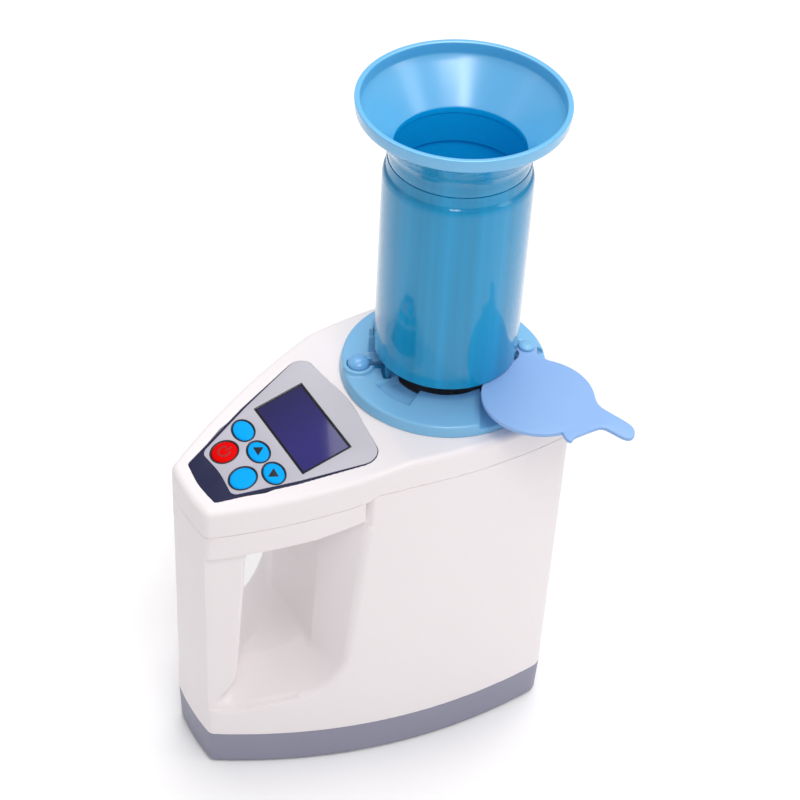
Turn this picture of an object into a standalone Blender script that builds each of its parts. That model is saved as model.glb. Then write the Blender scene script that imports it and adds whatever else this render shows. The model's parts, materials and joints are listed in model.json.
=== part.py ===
# Grain moisture meter: housing with handle, control panel, gate ring with
# swing-out gate, drop cylinder, loading funnel, and the weighing cup inside.
# Metres, +Z up, origin on the drop cylinder's axis at floor level.
# +X points to the blunt end, -X to the narrow handle end with the panel.
import bpy
import bmesh
import math
from mathutils import Matrix, Vector

MM = 0.001
GAP = 0.3                 # clearance between touching pieces, mm

# ---- driving dimensions, mm -------------------------------------------------
FOOT_H = 2.0              # rubber feet stand this far below the base
NARROW_X, NARROW_HALF = -165.8, 22.9     # narrow end, on the base line
BLUNT_X, BLUNT_HALF = 48.2, 65.4         # blunt end corners
SIDE_BULGE = 18.5         # sagitta of the long sides
BLUNT_NOSE = 65.9         # x of the blunt end on the centre line
NARROW_NOSE = -167.5
DRAFT = 0.003            # outward lean of all walls, per mm of height
WALL = 2.6
BASE_H = 26.1             # height of the grey base tray
TOP_Z = 243.9             # flat top round the gate ring
SLOPE = 0.264             # rise of the panel face per mm of x
PANEL_X, PANEL_Z = -108.8, 230.2         # datum of the panel face
PART_Z, PART_DROP = 225.2, 18.6          # parting line, and its depth below the panel face
TURN = 0.52               # the gate ring and all it carries are turned this far on the body, degrees
CYL_R, CYL_BOT, CYL_TOP = 42.0, 263.4, 396.0
OUTLET_R = 28.0
RING_R0, RING_R1, RING_TOP, RING_HOLE = 61.5, 59.3, 250.8, 31.7
FUNNEL_R, FUNNEL_TOP = 58.7, 433.0


def turn(x, y):
    a = math.radians(TURN)
    return (x * math.cos(a) - y * math.sin(a), x * math.sin(a) + y * math.cos(a))


PIVOT = turn(40.8, -24.0)     # gate pivot
GATE_C, GATE_R = turn(23.6, -64.0), 32.6     # open gate disc
GATE_Z0, GATE_Z1 = 260.3, 262.9
BUTTON = turn(-48.3, 17.0)
CUP_R, CUP_BOT, CUP_TOP = 33.2, 131.3, 236.0
BETA = math.atan(SLOPE)
LCD_U, LCD_V, LCD_C = 30.9, 60.6, -0.6
KEYS = {"key_menu": (-13.3, 19.5, 5.6, 8.4), "key_down": (-13.5, -0.6, 5.6, 8.4),
        "key_up": (-13.7, -20.5, 5.6, 8.4), "key_power": (-29.6, 12.0, 7.7, 7.8),
        "key_enter": (-29.8, -12.4, 7.7, 7.8)}
KEY_TRAVEL = 0.6

for ob in list(bpy.data.objects):
    bpy.data.objects.remove(ob, do_unlink=True)

parts = bpy.data.collections.new("grain_moisture_meter")
cutters = bpy.data.collections.new("cutters")
bpy.context.scene.collection.children.link(parts)
bpy.context.scene.collection.children.link(cutters)
root = bpy.data.objects.new("meter_frame", None)
root.location = (0, 0, FOOT_H * MM)
parts.objects.link(root)
panel_frame = bpy.data.objects.new("panel_frame", None)
panel_frame.location = (PANEL_X * MM, 0, PANEL_Z * MM)
panel_frame.rotation_euler = (0, -BETA, 0)
panel_frame.parent = root
parts.objects.link(panel_frame)
bpy.context.view_layer.update()


# ---- materials ----------------------------------------------------------------
def mat(name, rgb, rough, metal=0.0):
    m = bpy.data.materials.new(name)
    m.use_nodes = True
    b = m.node_tree.nodes["Principled BSDF"]
    b.inputs["Base Color"].default_value = (*rgb, 1)
    b.inputs["Roughness"].default_value = rough
    b.inputs["Metallic"].default_value = metal
    m.diffuse_color = (*rgb, 1)
    return m


WHITE = mat("housing_white", (0.83, 0.80, 0.80), 0.38)
GREY = mat("base_grey", (0.25, 0.25, 0.33), 0.45)
NAVY = mat("panel_navy", (0.03, 0.035, 0.09), 0.4)
SILVER = mat("panel_silver", (0.57, 0.57, 0.60), 0.4, 0.3)
GLASS = mat("lcd_face", (0.055, 0.045, 0.18), 0.12)
KEYBLUE = mat("key_blue", (0.0, 0.36, 0.95), 0.4)
KEYRED = mat("key_red", (0.85, 0.01, 0.01), 0.4)
RINGBLUE = mat("ring_blue", (0.20, 0.47, 0.75), 0.3)
CYLBLUE = mat("cylinder_blue", (0.05, 0.30, 0.60), 0.16)
GATEBLUE = mat("gate_blue", (0.33, 0.53, 0.88), 0.35)
RUBBER = mat("rubber_black", (0.02, 0.02, 0.02), 0.8)
STEEL = mat("steel", (0.55, 0.56, 0.58), 0.3, 1.0)
ALU = mat("aluminium", (0.75, 0.76, 0.78), 0.35, 1.0)
PCB = mat("circuit_board", (0.02, 0.20, 0.08), 0.45)
BLACK = mat("black_plastic", (0.03, 0.03, 0.035), 0.45)
CELL = mat("cell_wrap", (0.10, 0.12, 0.16), 0.35, 0.4)
BRASSY = mat("ribbon_grey", (0.45, 0.46, 0.5), 0.5)


# ---- mesh helpers -------------------------------------------------------------
def finish(ob, material, parent=root, smooth=True, angle=35):
    ob.data.materials.clear()
    ob.data.materials.append(material)
    if smooth:
        ob.data.shade_smooth()
        ob.data.set_sharp_from_angle(angle=math.radians(angle))
    return ob


def obj(name, bm, parent=root):
    bmesh.ops.recalc_face_normals(bm, faces=bm.faces[:])
    me = bpy.data.meshes.new(name)
    bm.to_mesh(me)
    bm.free()
    ob = bpy.data.objects.new(name, me)
    parts.objects.link(ob)
    ob.parent = parent
    return ob


def evaluated(ob):
    """Replace the object by its evaluated, welded mesh."""
    bpy.context.view_layer.update()
    dg = bpy.context.evaluated_depsgraph_get()
    me = bpy.data.meshes.new_from_object(ob.evaluated_get(dg), depsgraph=dg)
    bm = bmesh.new()
    bm.from_mesh(me)
    bmesh.ops.remove_doubles(bm, verts=bm.verts[:], dist=2e-6)
    bmesh.ops.dissolve_degenerate(bm, edges=bm.edges[:], dist=1e-7)
    bmesh.ops.recalc_face_normals(bm, faces=bm.faces[:])
    bm.to_mesh(me)
    bm.free()
    if ob.type == "MESH":
        ob.modifiers.clear()
        ob.data = me
        return ob
    new = bpy.data.objects.new(ob.name + "_m", me)
    parts.objects.link(new)
    new.parent = ob.parent
    new.matrix_parent_inverse = ob.matrix_parent_inverse
    new.location = ob.location
    new.rotation_euler = ob.rotation_euler
    nm = ob.name
    bpy.data.objects.remove(ob, do_unlink=True)
    new.name = nm
    return new


def boolean(ob, tool, op="DIFFERENCE", keep=False):
    if tool.name in parts.objects:
        parts.objects.unlink(tool)
        cutters.objects.link(tool)
    tool.hide_render = True
    tool.display_type = "WIRE"
    m = ob.modifiers.new("cut", "BOOLEAN")
    m.operation = op
    m.solver = "EXACT"
    m.object = tool
    evaluated(ob)
    if not keep:
        bpy.data.objects.remove(tool, do_unlink=True)
    return ob


def loft(name, rings, parent=root, closed=False, caps=True):
    """Skin rings of equal point count; optionally closed back to the first ring."""
    bm = bmesh.new()
    vr = [[bm.verts.new(Vector(p) * MM) for p in r] for r in rings]
    n = len(rings[0])
    last = len(vr) if closed else len(vr) - 1
    for i in range(last):
        a, b = vr[i], vr[(i + 1) % len(vr)]
        for j in range(n):
            k = (j + 1) % n
            bm.faces.new((a[j], a[k], b[k], b[j]))
    if not closed and caps:
        bm.faces.new(vr[0])
        bm.faces.new(vr[-1])
    return obj(name, bm, parent)


def prism(name, poly, z0, z1, parent=root):
    return loft(name, [[(x, y, z0) for x, y in poly], [(x, y, z1) for x, y in poly]], parent)


def xz_prism(name, poly, y0, y1, parent=root):
    return loft(name, [[(x, y0, z) for x, z in poly], [(x, y1, z) for x, z in poly]], parent)


def circle(r, n, cx=0.0, cy=0.0, a0=0.0):
    return [(cx + r * math.cos(a0 + 2 * math.pi * i / n), cy + r * math.sin(a0 + 2 * math.pi * i / n)) for i in range(n)]


def cyl(name, r, z0, z1, cx=0.0, cy=0.0, n=24, parent=root):
    bm = bmesh.new()
    bmesh.ops.create_cone(bm, cap_ends=True, segments=n, radius1=r * MM, radius2=r * MM, depth=(z1 - z0) * MM)
    bmesh.ops.translate(bm, verts=bm.verts[:], vec=Vector((cx, cy, (z0 + z1) / 2)) * MM)
    return obj(name, bm, parent)


def box(name, x0, x1, y0, y1, z0, z1, parent=root, bevel=0.0):
    bm = bmesh.new()
    bmesh.ops.create_cube(bm, size=1.0)
    for v in bm.verts:
        v.co = Vector(((x0 + x1) / 2 + v.co.x * (x1 - x0), (y0 + y1) / 2 + v.co.y * (y1 - y0), (z0 + z1) / 2 + v.co.z * (z1 - z0))) * MM
    ob = obj(name, bm, parent)
    if bevel:
        b = ob.modifiers.new("edge", "BEVEL")
        b.width = bevel * MM
        b.segments = 1
        b.limit_method = "ANGLE"
    return ob


def turned(name, profile, n=64, parent=root, cx=0.0, cy=0.0):
    """Closed profile (r, z) turned about Z with a Screw modifier."""
    me = bpy.data.meshes.new(name)
    vs = [(r * MM, 0, z * MM) for r, z in profile]
    es = [(i, (i + 1) % len(vs)) for i in range(len(vs))]
    on_axis = [i for i, (r, z) in enumerate(profile) if r < 1e-9]
    es = [e for e in es if not (e[0] in on_axis and e[1] in on_axis)]
    me.from_pydata(vs, es, [])
    ob = bpy.data.objects.new(name, me)
    parts.objects.link(ob)
    ob.parent = parent
    ob.location = (cx * MM, cy * MM, 0)
    s = ob.modifiers.new("turn", "SCREW")
    s.steps = s.render_steps = n
    s.use_merge_vertices = True
    s.merge_threshold = 0.00001
    s.use_normal_calculate = True
    s.use_smooth_shade = True
    return evaluated(ob)


def flat(name, loops, z0, z1, parent=root):
    """Flat plate from 2D outlines; later loops are holes."""
    cu = bpy.data.curves.new(name, "CURVE")
    cu.dimensions = "2D"
    cu.fill_mode = "BOTH"
    cu.extrude = (z1 - z0) / 2 * MM
    for lp in loops:
        sp = cu.splines.new("POLY")
        sp.points.add(len(lp) - 1)
        for p, (x, y) in zip(sp.points, lp):
            p.co = (x * MM, y * MM, 0, 1)
        sp.use_cyclic_u = True
    ob = bpy.data.objects.new(name, cu)
    ob.location = (0, 0, (z0 + z1) / 2 * MM)
    ob.parent = parent
    parts.objects.link(ob)
    return evaluated(ob)


# ---- outline of the body in plan ----------------------------------------------
def bez2(a, c, b, n):
    out = []
    for i in range(n + 1):
        t = i / n
        out.append(tuple((1 - t) ** 2 * a[k] + 2 * t * (1 - t) * c[k] + t * t * b[k] for k in (0, 1)))
    return out


def seg_normals(pl):
    """Outward normals of a polyline that runs anticlockwise round the body."""
    out = []
    for i in range(len(pl)):
        a, b = pl[max(i - 1, 0)], pl[min(i + 1, len(pl) - 1)]
        dx, dy = b[0] - a[0], b[1] - a[1]
        d = math.hypot(dx, dy)
        out.append((dy / d, -dx / d))
    return out


def corner(p1, p2, r, n):
    """Round the corner where p1 ends and p2 starts; returns trimmed p1, arc, trimmed p2."""
    n1, n2 = seg_normals(p1), seg_normals(p2)
    o1 = [(p[0] - m[0] * r, p[1] - m[1] * r) for p, m in zip(p1, n1)]
    o2 = [(p[0] - m[0] * r, p[1] - m[1] * r) for p, m in zip(p2, n2)]
    for i in range(len(o1) - 2, -1, -1):
        for j in range(len(o2) - 1):
            (ax, ay), (bx, by), (cx, cy), (dx, dy) = o1[i], o1[i + 1], o2[j], o2[j + 1]
            den = (bx - ax) * (dy - cy) - (by - ay) * (dx - cx)
            if abs(den) < 1e-12:
                continue
            t = ((cx - ax) * (dy - cy) - (cy - ay) * (dx - cx)) / den
            u = ((cx - ax) * (by - ay) - (cy - ay) * (bx - ax)) / den
            if -1e-9 <= t <= 1 + 1e-9 and -1e-9 <= u <= 1 + 1e-9:
                mx = ax + t * (bx - ax), ay + t * (by - ay)
                q1 = tuple(p1[i][k] + t * (p1[i + 1][k] - p1[i][k]) for k in (0, 1))
                q2 = tuple(p2[j][k] + u * (p2[j + 1][k] - p2[j][k]) for k in (0, 1))
                a1 = math.atan2(q1[1] - mx[1], q1[0] - mx[0])
                a2 = math.atan2(q2[1] - mx[1], q2[0] - mx[0])
                while a2 < a1:
                    a2 += 2 * math.pi
                arc = [(mx[0] + r * math.cos(a1 + (a2 - a1) * s / n), mx[1] + r * math.sin(a1 + (a2 - a1) * s / n)) for s in range(n + 1)]
                return p1[:i + 1] + [q1], arc, [q2] + p2[j + 1:]
    raise ValueError("corner")


def resample(pl, n):
    d = [0.0]
    for a, b in zip(pl[:-1], pl[1:]):
        d.append(d[-1] + math.hypot(b[0] - a[0], b[1] - a[1]))
    out = []
    k = 0
    for i in range(n + 1):
        s = d[-1] * i / n
        while k < len(d) - 2 and d[k + 1] < s:
            k += 1
        t = (s - d[k]) / max(d[k + 1] - d[k], 1e-12)
        out.append(tuple(pl[k][m] + t * (pl[k + 1][m] - pl[k][m]) for m in (0, 1)))
    return out


def body_outline(ns=14, ne=5, nc=3, nl=3):
    """Lower half (y <= 0) from the narrow end's centre line to the blunt end's."""
    A, B = (NARROW_X, -NARROW_HALF), (BLUNT_X, -BLUNT_HALF)
    dx, dy = B[0] - A[0], B[1] - A[1]
    d = math.hypot(dx, dy)
    nx, ny = dy / d, -dx / d
    C = ((A[0] + B[0]) / 2 + nx * 2 * SIDE_BULGE, (A[1] + B[1]) / 2 + ny * 2 * SIDE_BULGE)
    side = bez2(A, C, B, 60)
    end = bez2(B, (2 * BLUNT_NOSE - (BLUNT_X * 1.0), 0), (BLUNT_X, BLUNT_HALF), 60)
    nar = bez2((NARROW_X, NARROW_HALF), (2 * NARROW_NOSE - NARROW_X, 0), A, 40)
    side, arc_b, end = corner(side, end, 12.0, nc)
    nar, arc_a, side = corner(nar, side, 6.0, nc)
    half_end = [p for p in end if p[1] <= -1e-6]
    # exact centre-line points
    half_end = half_end + [(BLUNT_NOSE, 0.0)]
    half_nar = [(NARROW_NOSE, 0.0)] + [p for p in nar if p[1] < -1e-6]
    nar_r, side_r, end_r = resample(half_nar, nl), resample(side, ns), resample(half_end, ne)
    half = nar_r[:-1] + arc_a[:-1] + side_r[:-1] + arc_b[:-1] + end_r
    nrm = seg_normals(half)
    nrm[0], nrm[-1] = (-1.0, 0.0), (1.0, 0.0)
    return half, nrm


HALF, HNRM = body_outline()
FULL = HALF + [(x, -y) for x, y in reversed(HALF[1:-1])]
FNRM = HNRM + [(a, -b) for a, b in reversed(HNRM[1:-1])]


def ring_at(off, zf):
    """Outline moved out by off(z) + draft, at height zf(x)."""
    out = []
    for (x, y), (a, b) in zip(FULL, FNRM):
        z = zf(x) if callable(zf) else zf
        o = off + DRAFT * z
        out.append((x + a * o, y + b * o, z))
    return out


def panel_z(x):
    return PANEL_Z + (x - PANEL_X) * SLOPE


def top_z(x):
    """Top face: panel slope blending into the flat top."""
    a, b, k = panel_z(x), TOP_Z, 2.0
    h = max(k - abs(a - b), 0.0) / k
    return min(a, b) - h * h * k / 4


PART_X = (-82.0, -75.5, -52.0)       # below the panel, top of the step, start of the level run


def part_z(x):
    """Parting line: parallel to the panel face, a short step, then nearly level."""
    knots = [(-200.0, panel_z(-200.0) - PART_DROP), (PART_X[0], panel_z(PART_X[0]) - PART_DROP), (PART_X[1], PART_Z - 2.0), (PART_X[2], PART_Z), (200.0, PART_Z)]
    for (xa, za), (xb, zb) in zip(knots[:-1], knots[1:]):
        if x <= xb:
            return za + (zb - za) * (x - xa) / (xb - xa)
    return PART_Z


# ---- base tray ------------------------------------------------------------------
def tray():
    rings = [ring_at(-1.6, 0.0), ring_at(-0.9, 1.2), ring_at(0, BASE_H), ring_at(-WALL, BASE_H), ring_at(-WALL - 1.2, 3.0)]
    ob = loft("base_tray", rings)
    posts = SCREWS
    for i, (x, y) in enumerate(posts):
        boolean(ob, cyl("p", 4.0, 2.0, 23.0, x, y, 12), "UNION")
    for i, (x, y) in enumerate(posts):
        t = turned("p", [(0, -1), (3.9, -1), (3.9, 3.4), (1.8, 3.4), (1.8, 30), (0, 30)], 12, cx=x, cy=y)
        boolean(ob, t)
    for x, y in FEET:
        boolean(ob, cyl("p", 7.3, -1, 1.1, x, y, 16))
    boolean(ob, box("p", -128.5, -61.5, -29.5, 29.5, -1, 5))
    return finish(ob, GREY)


SCREW_X = 45.5
FEET = [(-140, 13.0), (-140, -13.0), (24, 50.0), (24, -50.0)]
SCREWS = [(-147, 24.5), (-147, -24.5), (SCREW_X, 54.5), (SCREW_X, -54.5)]
base_tray = tray()
for i, (x, y) in enumerate(FEET):
    finish(turned("rubber_foot_%d" % (i + 1), [(0, -2.0), (6.2, -2.0), (7.0, -1.2), (7.0, 0.8), (0, 0.8)], 16, cx=x, cy=y), RUBBER)
for i, (x, y) in enumerate(SCREWS):
    finish(turned("base_screw_%d" % (i + 1), [(0, 0.8), (3.3, 0.8), (3.5, 1.4), (3.5, 3.0), (1.45, 3.0), (1.45, 40), (0, 41)], 12, cx=x, cy=y), STEEL)

door = box("battery_door", -127.9, -62.1, -28.9, 28.9, 0.2, 2.4)
finish(door, GREY, smooth=False)

# ---- lower housing with the hand opening --------------------------------------
# Right-hand wall of the opening leans; the mouth flares on both faces.
def mouth(y, f):
    """Section of the hand opening; f = 0 at mid-width, 1 at the face."""
    xr_t, xr_b = -95.0 + 13.5 * f, -99.0 + 8.0 * f
    pts = []
    # top edge, right to left
    pts += [(xr_t, 198.6 + 4.6 * f), (-110.0, 193.9), (-144.2 - 0.8 * f, 185.0)]
    # grip side, down
    pts += [(-145.4 - 0.8 * f, 150), (-147.2 - 1.0 * f, 115), (-148.8 - 1.6 * f, 82)]
    # scooped floor
    pts += [(-150.6 - 4.0 * f, 70 - 6 * f), (-147.0 - 6.0 * f, 63 - 11 * f), (-138.0 - 2.0 * f, 61.0 - 9.0 * f), (-120.0, 62.5 - 5.4 * f), (-108.0, 68.0 - 6.2 * f), (xr_b - 3.0, 80.0 - 6.0 * f)]
    pts += [(xr_b, 92.0 - 4.0 * f), (xr_b * 0.5 + xr_t * 0.5, 145.0)]
    return [(x, y, z) for x, z in pts]


def hand_opening(name, grow=0.0, ymax=75.0):
    ys = [(-ymax, 1.35), (-58, 1.0), (-44, 0.42), (-30, 0.08), (-22, 0.0), (22, 0.0), (30, 0.08), (44, 0.42), (58, 1.0), (ymax, 1.35)]
    rings = []
    for y, f in ys:
        r = mouth(y, f)
        if grow:
            cx = sum(p[0] for p in r) / len(r)
            cz = sum(p[2] for p in r) / len(r)
            n = len(r)
            g = []
            for i, p in enumerate(r):
                a, b = r[i - 1], r[(i + 1) % n]
                dx, dz = b[0] - a[0], b[2] - a[2]
                d = math.hypot(dx, dz)
                g.append((p[0] - dz / d * grow * -1, p[1], p[2] - dx / d * grow))
            # make sure the grown ring really is outside
            if (g[0][0] - cx) ** 2 + (g[0][2] - cz) ** 2 < (r[0][0] - cx) ** 2 + (r[0][2] - cz) ** 2:
                g = []
                for i, p in enumerate(r):
                    a, b = r[i - 1], r[(i + 1) % n]
                    dx, dz = b[0] - a[0], b[2] - a[2]
                    d = math.hypot(dx, dz)
                    g.append((p[0] - dz / d * grow, p[1], p[2] + dx / d * grow))
            r = g
        rings.append(r)
    return loft(name, rings)


def housing():
    zb = BASE_H + GAP
    ob = loft("lower_housing", [ring_at(0, zb), ring_at(0, 240.0)])
    # grip post sits 1.8 mm back from the face between shelf and lintel
    def side_ring(z, ins):
        return [(x * 1.0, y - math.copysign(ins, y) if abs(y) > 0.1 else y, z) for x, y, z in ring_at(0, z)]
    relief = xz_prism("relief", [(-190, 172.6), (-145, 184.8), (-96, 197.6), (-104, 70.0), (-150, 49.5), (-190, 46.0)], -90, 90)
    keepin = loft("keepin", [side_ring(20.0, 1.8), side_ring(240.0, 1.8)])
    boolean(relief, keepin)
    boolean(ob, relief)
    # hollow, leaving a skin round the hand opening
    hollow = loft("hollow", [ring_at(-WALL, 10.0), ring_at(-WALL, 250.0)])
    skin = hand_opening("skin", 2.4, 80.0)
    boolean(hollow, skin)
    boolean(ob, hollow)
    boolean(ob, hand_opening("hand"))
    # parting line cut
    xs = [-190, PART_X[0], PART_X[1], PART_X[2], 90]
    poly = [(x, part_z(x) - GAP / 2) for x in xs] + [(90, 280), (-190, 280)]
    boolean(ob, xz_prism("parting", poly, -100, 100))
    # screw bosses on the wall
    for x, y in SCREWS:
        t = cyl("b", 4.6, BASE_H + 0.8, 58.0, x + (1.2 if x > 0 else -0.6), y * (1.045 if x > 0 else 1.09), 12)
        shell = loft("s", [ring_at(-1.0, 10.0), ring_at(-1.0, 250.0)])
        boolean(t, shell, "INTERSECT")
        boolean(ob, t, "UNION")
    for x, y in SCREWS:
        boolean(ob, cyl("b", 1.8, 20.0, 46.0, x, y, 10))
    return finish(ob, WHITE, angle=30)


lower_housing = housing()


# ---- top cover -------------------------------------------------------------------
def cover():
    r = 3.6
    z0 = lambda x: panel_z(min(x, -52.0)) - PART_DROP - 12.0
    outer = [ring_at(0, z0)]
    steps = 3
    for i in range(steps + 1):
        a = math.pi / 2 * i / steps
        outer.append(ring_at(-r * (1 - math.cos(a)), (lambda aa: (lambda x: top_z(x) - r * (1 - math.sin(aa))))(a)))
    top_in = ring_at(-WALL - 0.6, lambda x: top_z(x) - 2.8)
    bot_in = ring_at(-WALL, z0)
    bm = bmesh.new()
    rings = outer + [top_in, bot_in]
    V = [[bm.verts.new(Vector(p) * MM) for p in rr] for rr in rings]
    n = len(FULL)
    h = len(HALF)
    def skin(a, b):
        for j in range(n):
            k = (j + 1) % n
            bm.faces.new((V[a][j], V[a][k], V[b][k], V[b][j]))
    for i in range(len(outer) - 1):
        skin(i, i + 1)
    def lid(vr):
        # strips across the centre line between mirrored points
        for j in range(h - 1):
            a, b = vr[j], vr[j + 1]
            c = vr[(n - j - 1) % n] if j + 1 < h - 1 else None
            am = vr[(n - j) % n]
            if j == 0:
                bm.faces.new((vr[0], vr[1], vr[n - 1]))
            elif j == h - 2:
                bm.faces.new((vr[j], vr[j + 1], vr[n - j]))
            else:
                bm.faces.new((vr[j], vr[j + 1], vr[n - j - 1], vr[n - j]))
    lid(V[len(outer) - 1])
    skin(len(outer), len(outer) + 1)
    lid(V[len(outer)])
    # rim at the parting line
    for j in range(n):
        k = (j + 1) % n
        bm.faces.new((V[-1][j], V[-1][k], V[0][k], V[0][j]))
    ob = obj("top_cover", bm)
    xs = [-190, PART_X[0], PART_X[1], PART_X[2], 90]
    boolean(ob, xz_prism("parting", [(x, part_z(x) + GAP / 2) for x in xs] + [(90, 160), (-190, 160)], -100, 100))
    boolean(ob, cyl("hole", 51.0, 225, 260, 0, 0, 64))
    # panel recess and window, in the panel's frame
    boolean(ob, prism("rec", PANEL_OUT_G, -1.5, 6.0, panel_frame))
    boolean(ob, prism("win", [(-40, -22), (-40, 22), (-24, 30), (-4, 34), (33, 34), (33, -34), (-4, -34), (-24, -30)], -8.0, 6.0, panel_frame))
    return finish(ob, WHITE, angle=30)


def rounded(poly, rads, n=4):
    """Round the corners of a polygon."""
    out = []
    m = len(poly)
    for i, (p, r) in enumerate(zip(poly, rads)):
        a, b = Vector(poly[i - 1]), Vector(poly[(i + 1) % m])
        p = Vector(p)
        u, v = (a - p).normalized(), (b - p).normalized()
        ang = u.angle(v)
        t = r / math.tan(ang / 2)
        c = p + (u + v).normalized() * (r / math.sin(ang / 2))
        s, e = p + u * t, p + v * t
        a0 = math.atan2(s.y - c.y, s.x - c.x)
        a1 = math.atan2(e.y - c.y, e.x - c.x)
        while a1 - a0 > math.pi:
            a1 -= 2 * math.pi
        while a1 - a0 < -math.pi:
            a1 += 2 * math.pi
        for k in range(n + 1):
            q = a0 + (a1 - a0) * k / n
            out.append((c.x + r * math.cos(q), c.y + r * math.sin(q)))
    return out


def offset_poly(poly, d):
    m = len(poly)
    out = []
    for i in range(m):
        a, b = poly[i - 1], poly[(i + 1) % m]
        dx, dy = b[0] - a[0], b[1] - a[1]
        L = math.hypot(dx, dy)
        out.append((poly[i][0] + dy / L * d, poly[i][1] - dx / L * d))
    return out


# panel outlines (u along the slope, v across), anticlockwise
PANEL_OUT = rounded([(-51.0, -18.0), (-6.0, -36.0), (42.0, -51.2), (47.8, 0.0), (42.0, 51.2), (-6.0, 36.0), (-51.0, 18.0), (-53.0, 0.0)], [3.0, 60, 9.0, 90, 9.0, 60, 3.0, 60], 3)
PANEL_OUT_G = offset_poly(PANEL_OUT, 0.3)
PLATE_OUT = rounded([(-40.6, -19.6), (-4.0, -34.7), (41.4, -50.2), (47.5, 0.0), (41.4, 50.2), (-4.0, 34.7), (-40.6, 19.6), (-38.6, 0.0)], [5.0, 60, 8.6, 90, 8.6, 60, 5.0, 60], 3)


def oval(cu, cv, a, b, n=20):
    return [(cu + a * math.cos(2 * math.pi * i / n), cv + b * math.sin(2 * math.pi * i / n)) for i in range(n)]


def rect(u0, u1, v0, v1):
    return [(u0, v0), (u1, v0), (u1, v1), (u0, v1)]


top_cover = cover()
key_holes = [oval(u, v, a + 0.35, b + 0.35) for u, v, a, b in KEYS.values()]
bezel = flat("panel_bezel", [PANEL_OUT, rect(-0.2, LCD_U + 0.2, LCD_C - LCD_V / 2 - 0.2, LCD_C + LCD_V / 2 + 0.2)] + key_holes, -1.2, -0.1, panel_frame)
finish(bezel, NAVY, smooth=False)
plate = flat("panel_plate", [PLATE_OUT, rect(-0.2, LCD_U + 0.2, LCD_C - LCD_V / 2 - 0.2, LCD_C + LCD_V / 2 + 0.2)] + key_holes, 0.2, 0.7, panel_frame)
finish(plate, SILVER, smooth=False)
lcd = box("lcd_window", 0.1, LCD_U - 0.1, LCD_C - LCD_V / 2 + 0.1, LCD_C + LCD_V / 2 - 0.1, -2.6, 0.45, panel_frame)
finish(lcd, GLASS, smooth=False)
finish(box("lcd_module", -1.5, 32.0, -32.5, 32.5, -8.6, -3.4, panel_frame), STEEL, smooth=False)
finish(prism("display_board", [(-38, -20), (-24, -28), (-4, -33), (36, -33), (36, 33), (-4, 33), (-24, 28), (-38, 20)], -11.0, -9.4, panel_frame), PCB, smooth=False)
for nm, (u, v, a, b) in KEYS.items():
    rings = []
    for s, w in ((0.93, 1.15), (1.0, 0.85), (1.0, -2.4)):
        rings.append([(x, y, w) for x, y in oval(0, 0, a * s if s < 1 else a, b * s if s < 1 else b)])
    rings.append([(x, y, -2.4) for x, y in oval(0, 0, 2.6, 2.6)])
    rings.append([(x, y, -8.5) for x, y in oval(0, 0, 2.4, 2.4)])
    ob = loft(nm, rings, panel_frame)
    ob.location = (u * MM, v * MM, 0)
    finish(ob, KEYRED if nm == "key_power" else KEYBLUE)

# ---- gate ring ---------------------------------------------------------------------
def sector(name, r0, r1, a0, a1, z0, z1, n=14):
    a0, a1 = a0 + TURN, a1 + TURN
    p = [(r1 * math.cos(math.radians(a0 + (a1 - a0) * i / n)), r1 * math.sin(math.radians(a0 + (a1 - a0) * i / n))) for i in range(n + 1)]
    q = [(r0 * math.cos(math.radians(a1 + (a0 - a1) * i / n)), r0 * math.sin(math.radians(a1 + (a0 - a1) * i / n))) for i in range(n + 1)]
    return prism(name, p + q, z0, z1)


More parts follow.
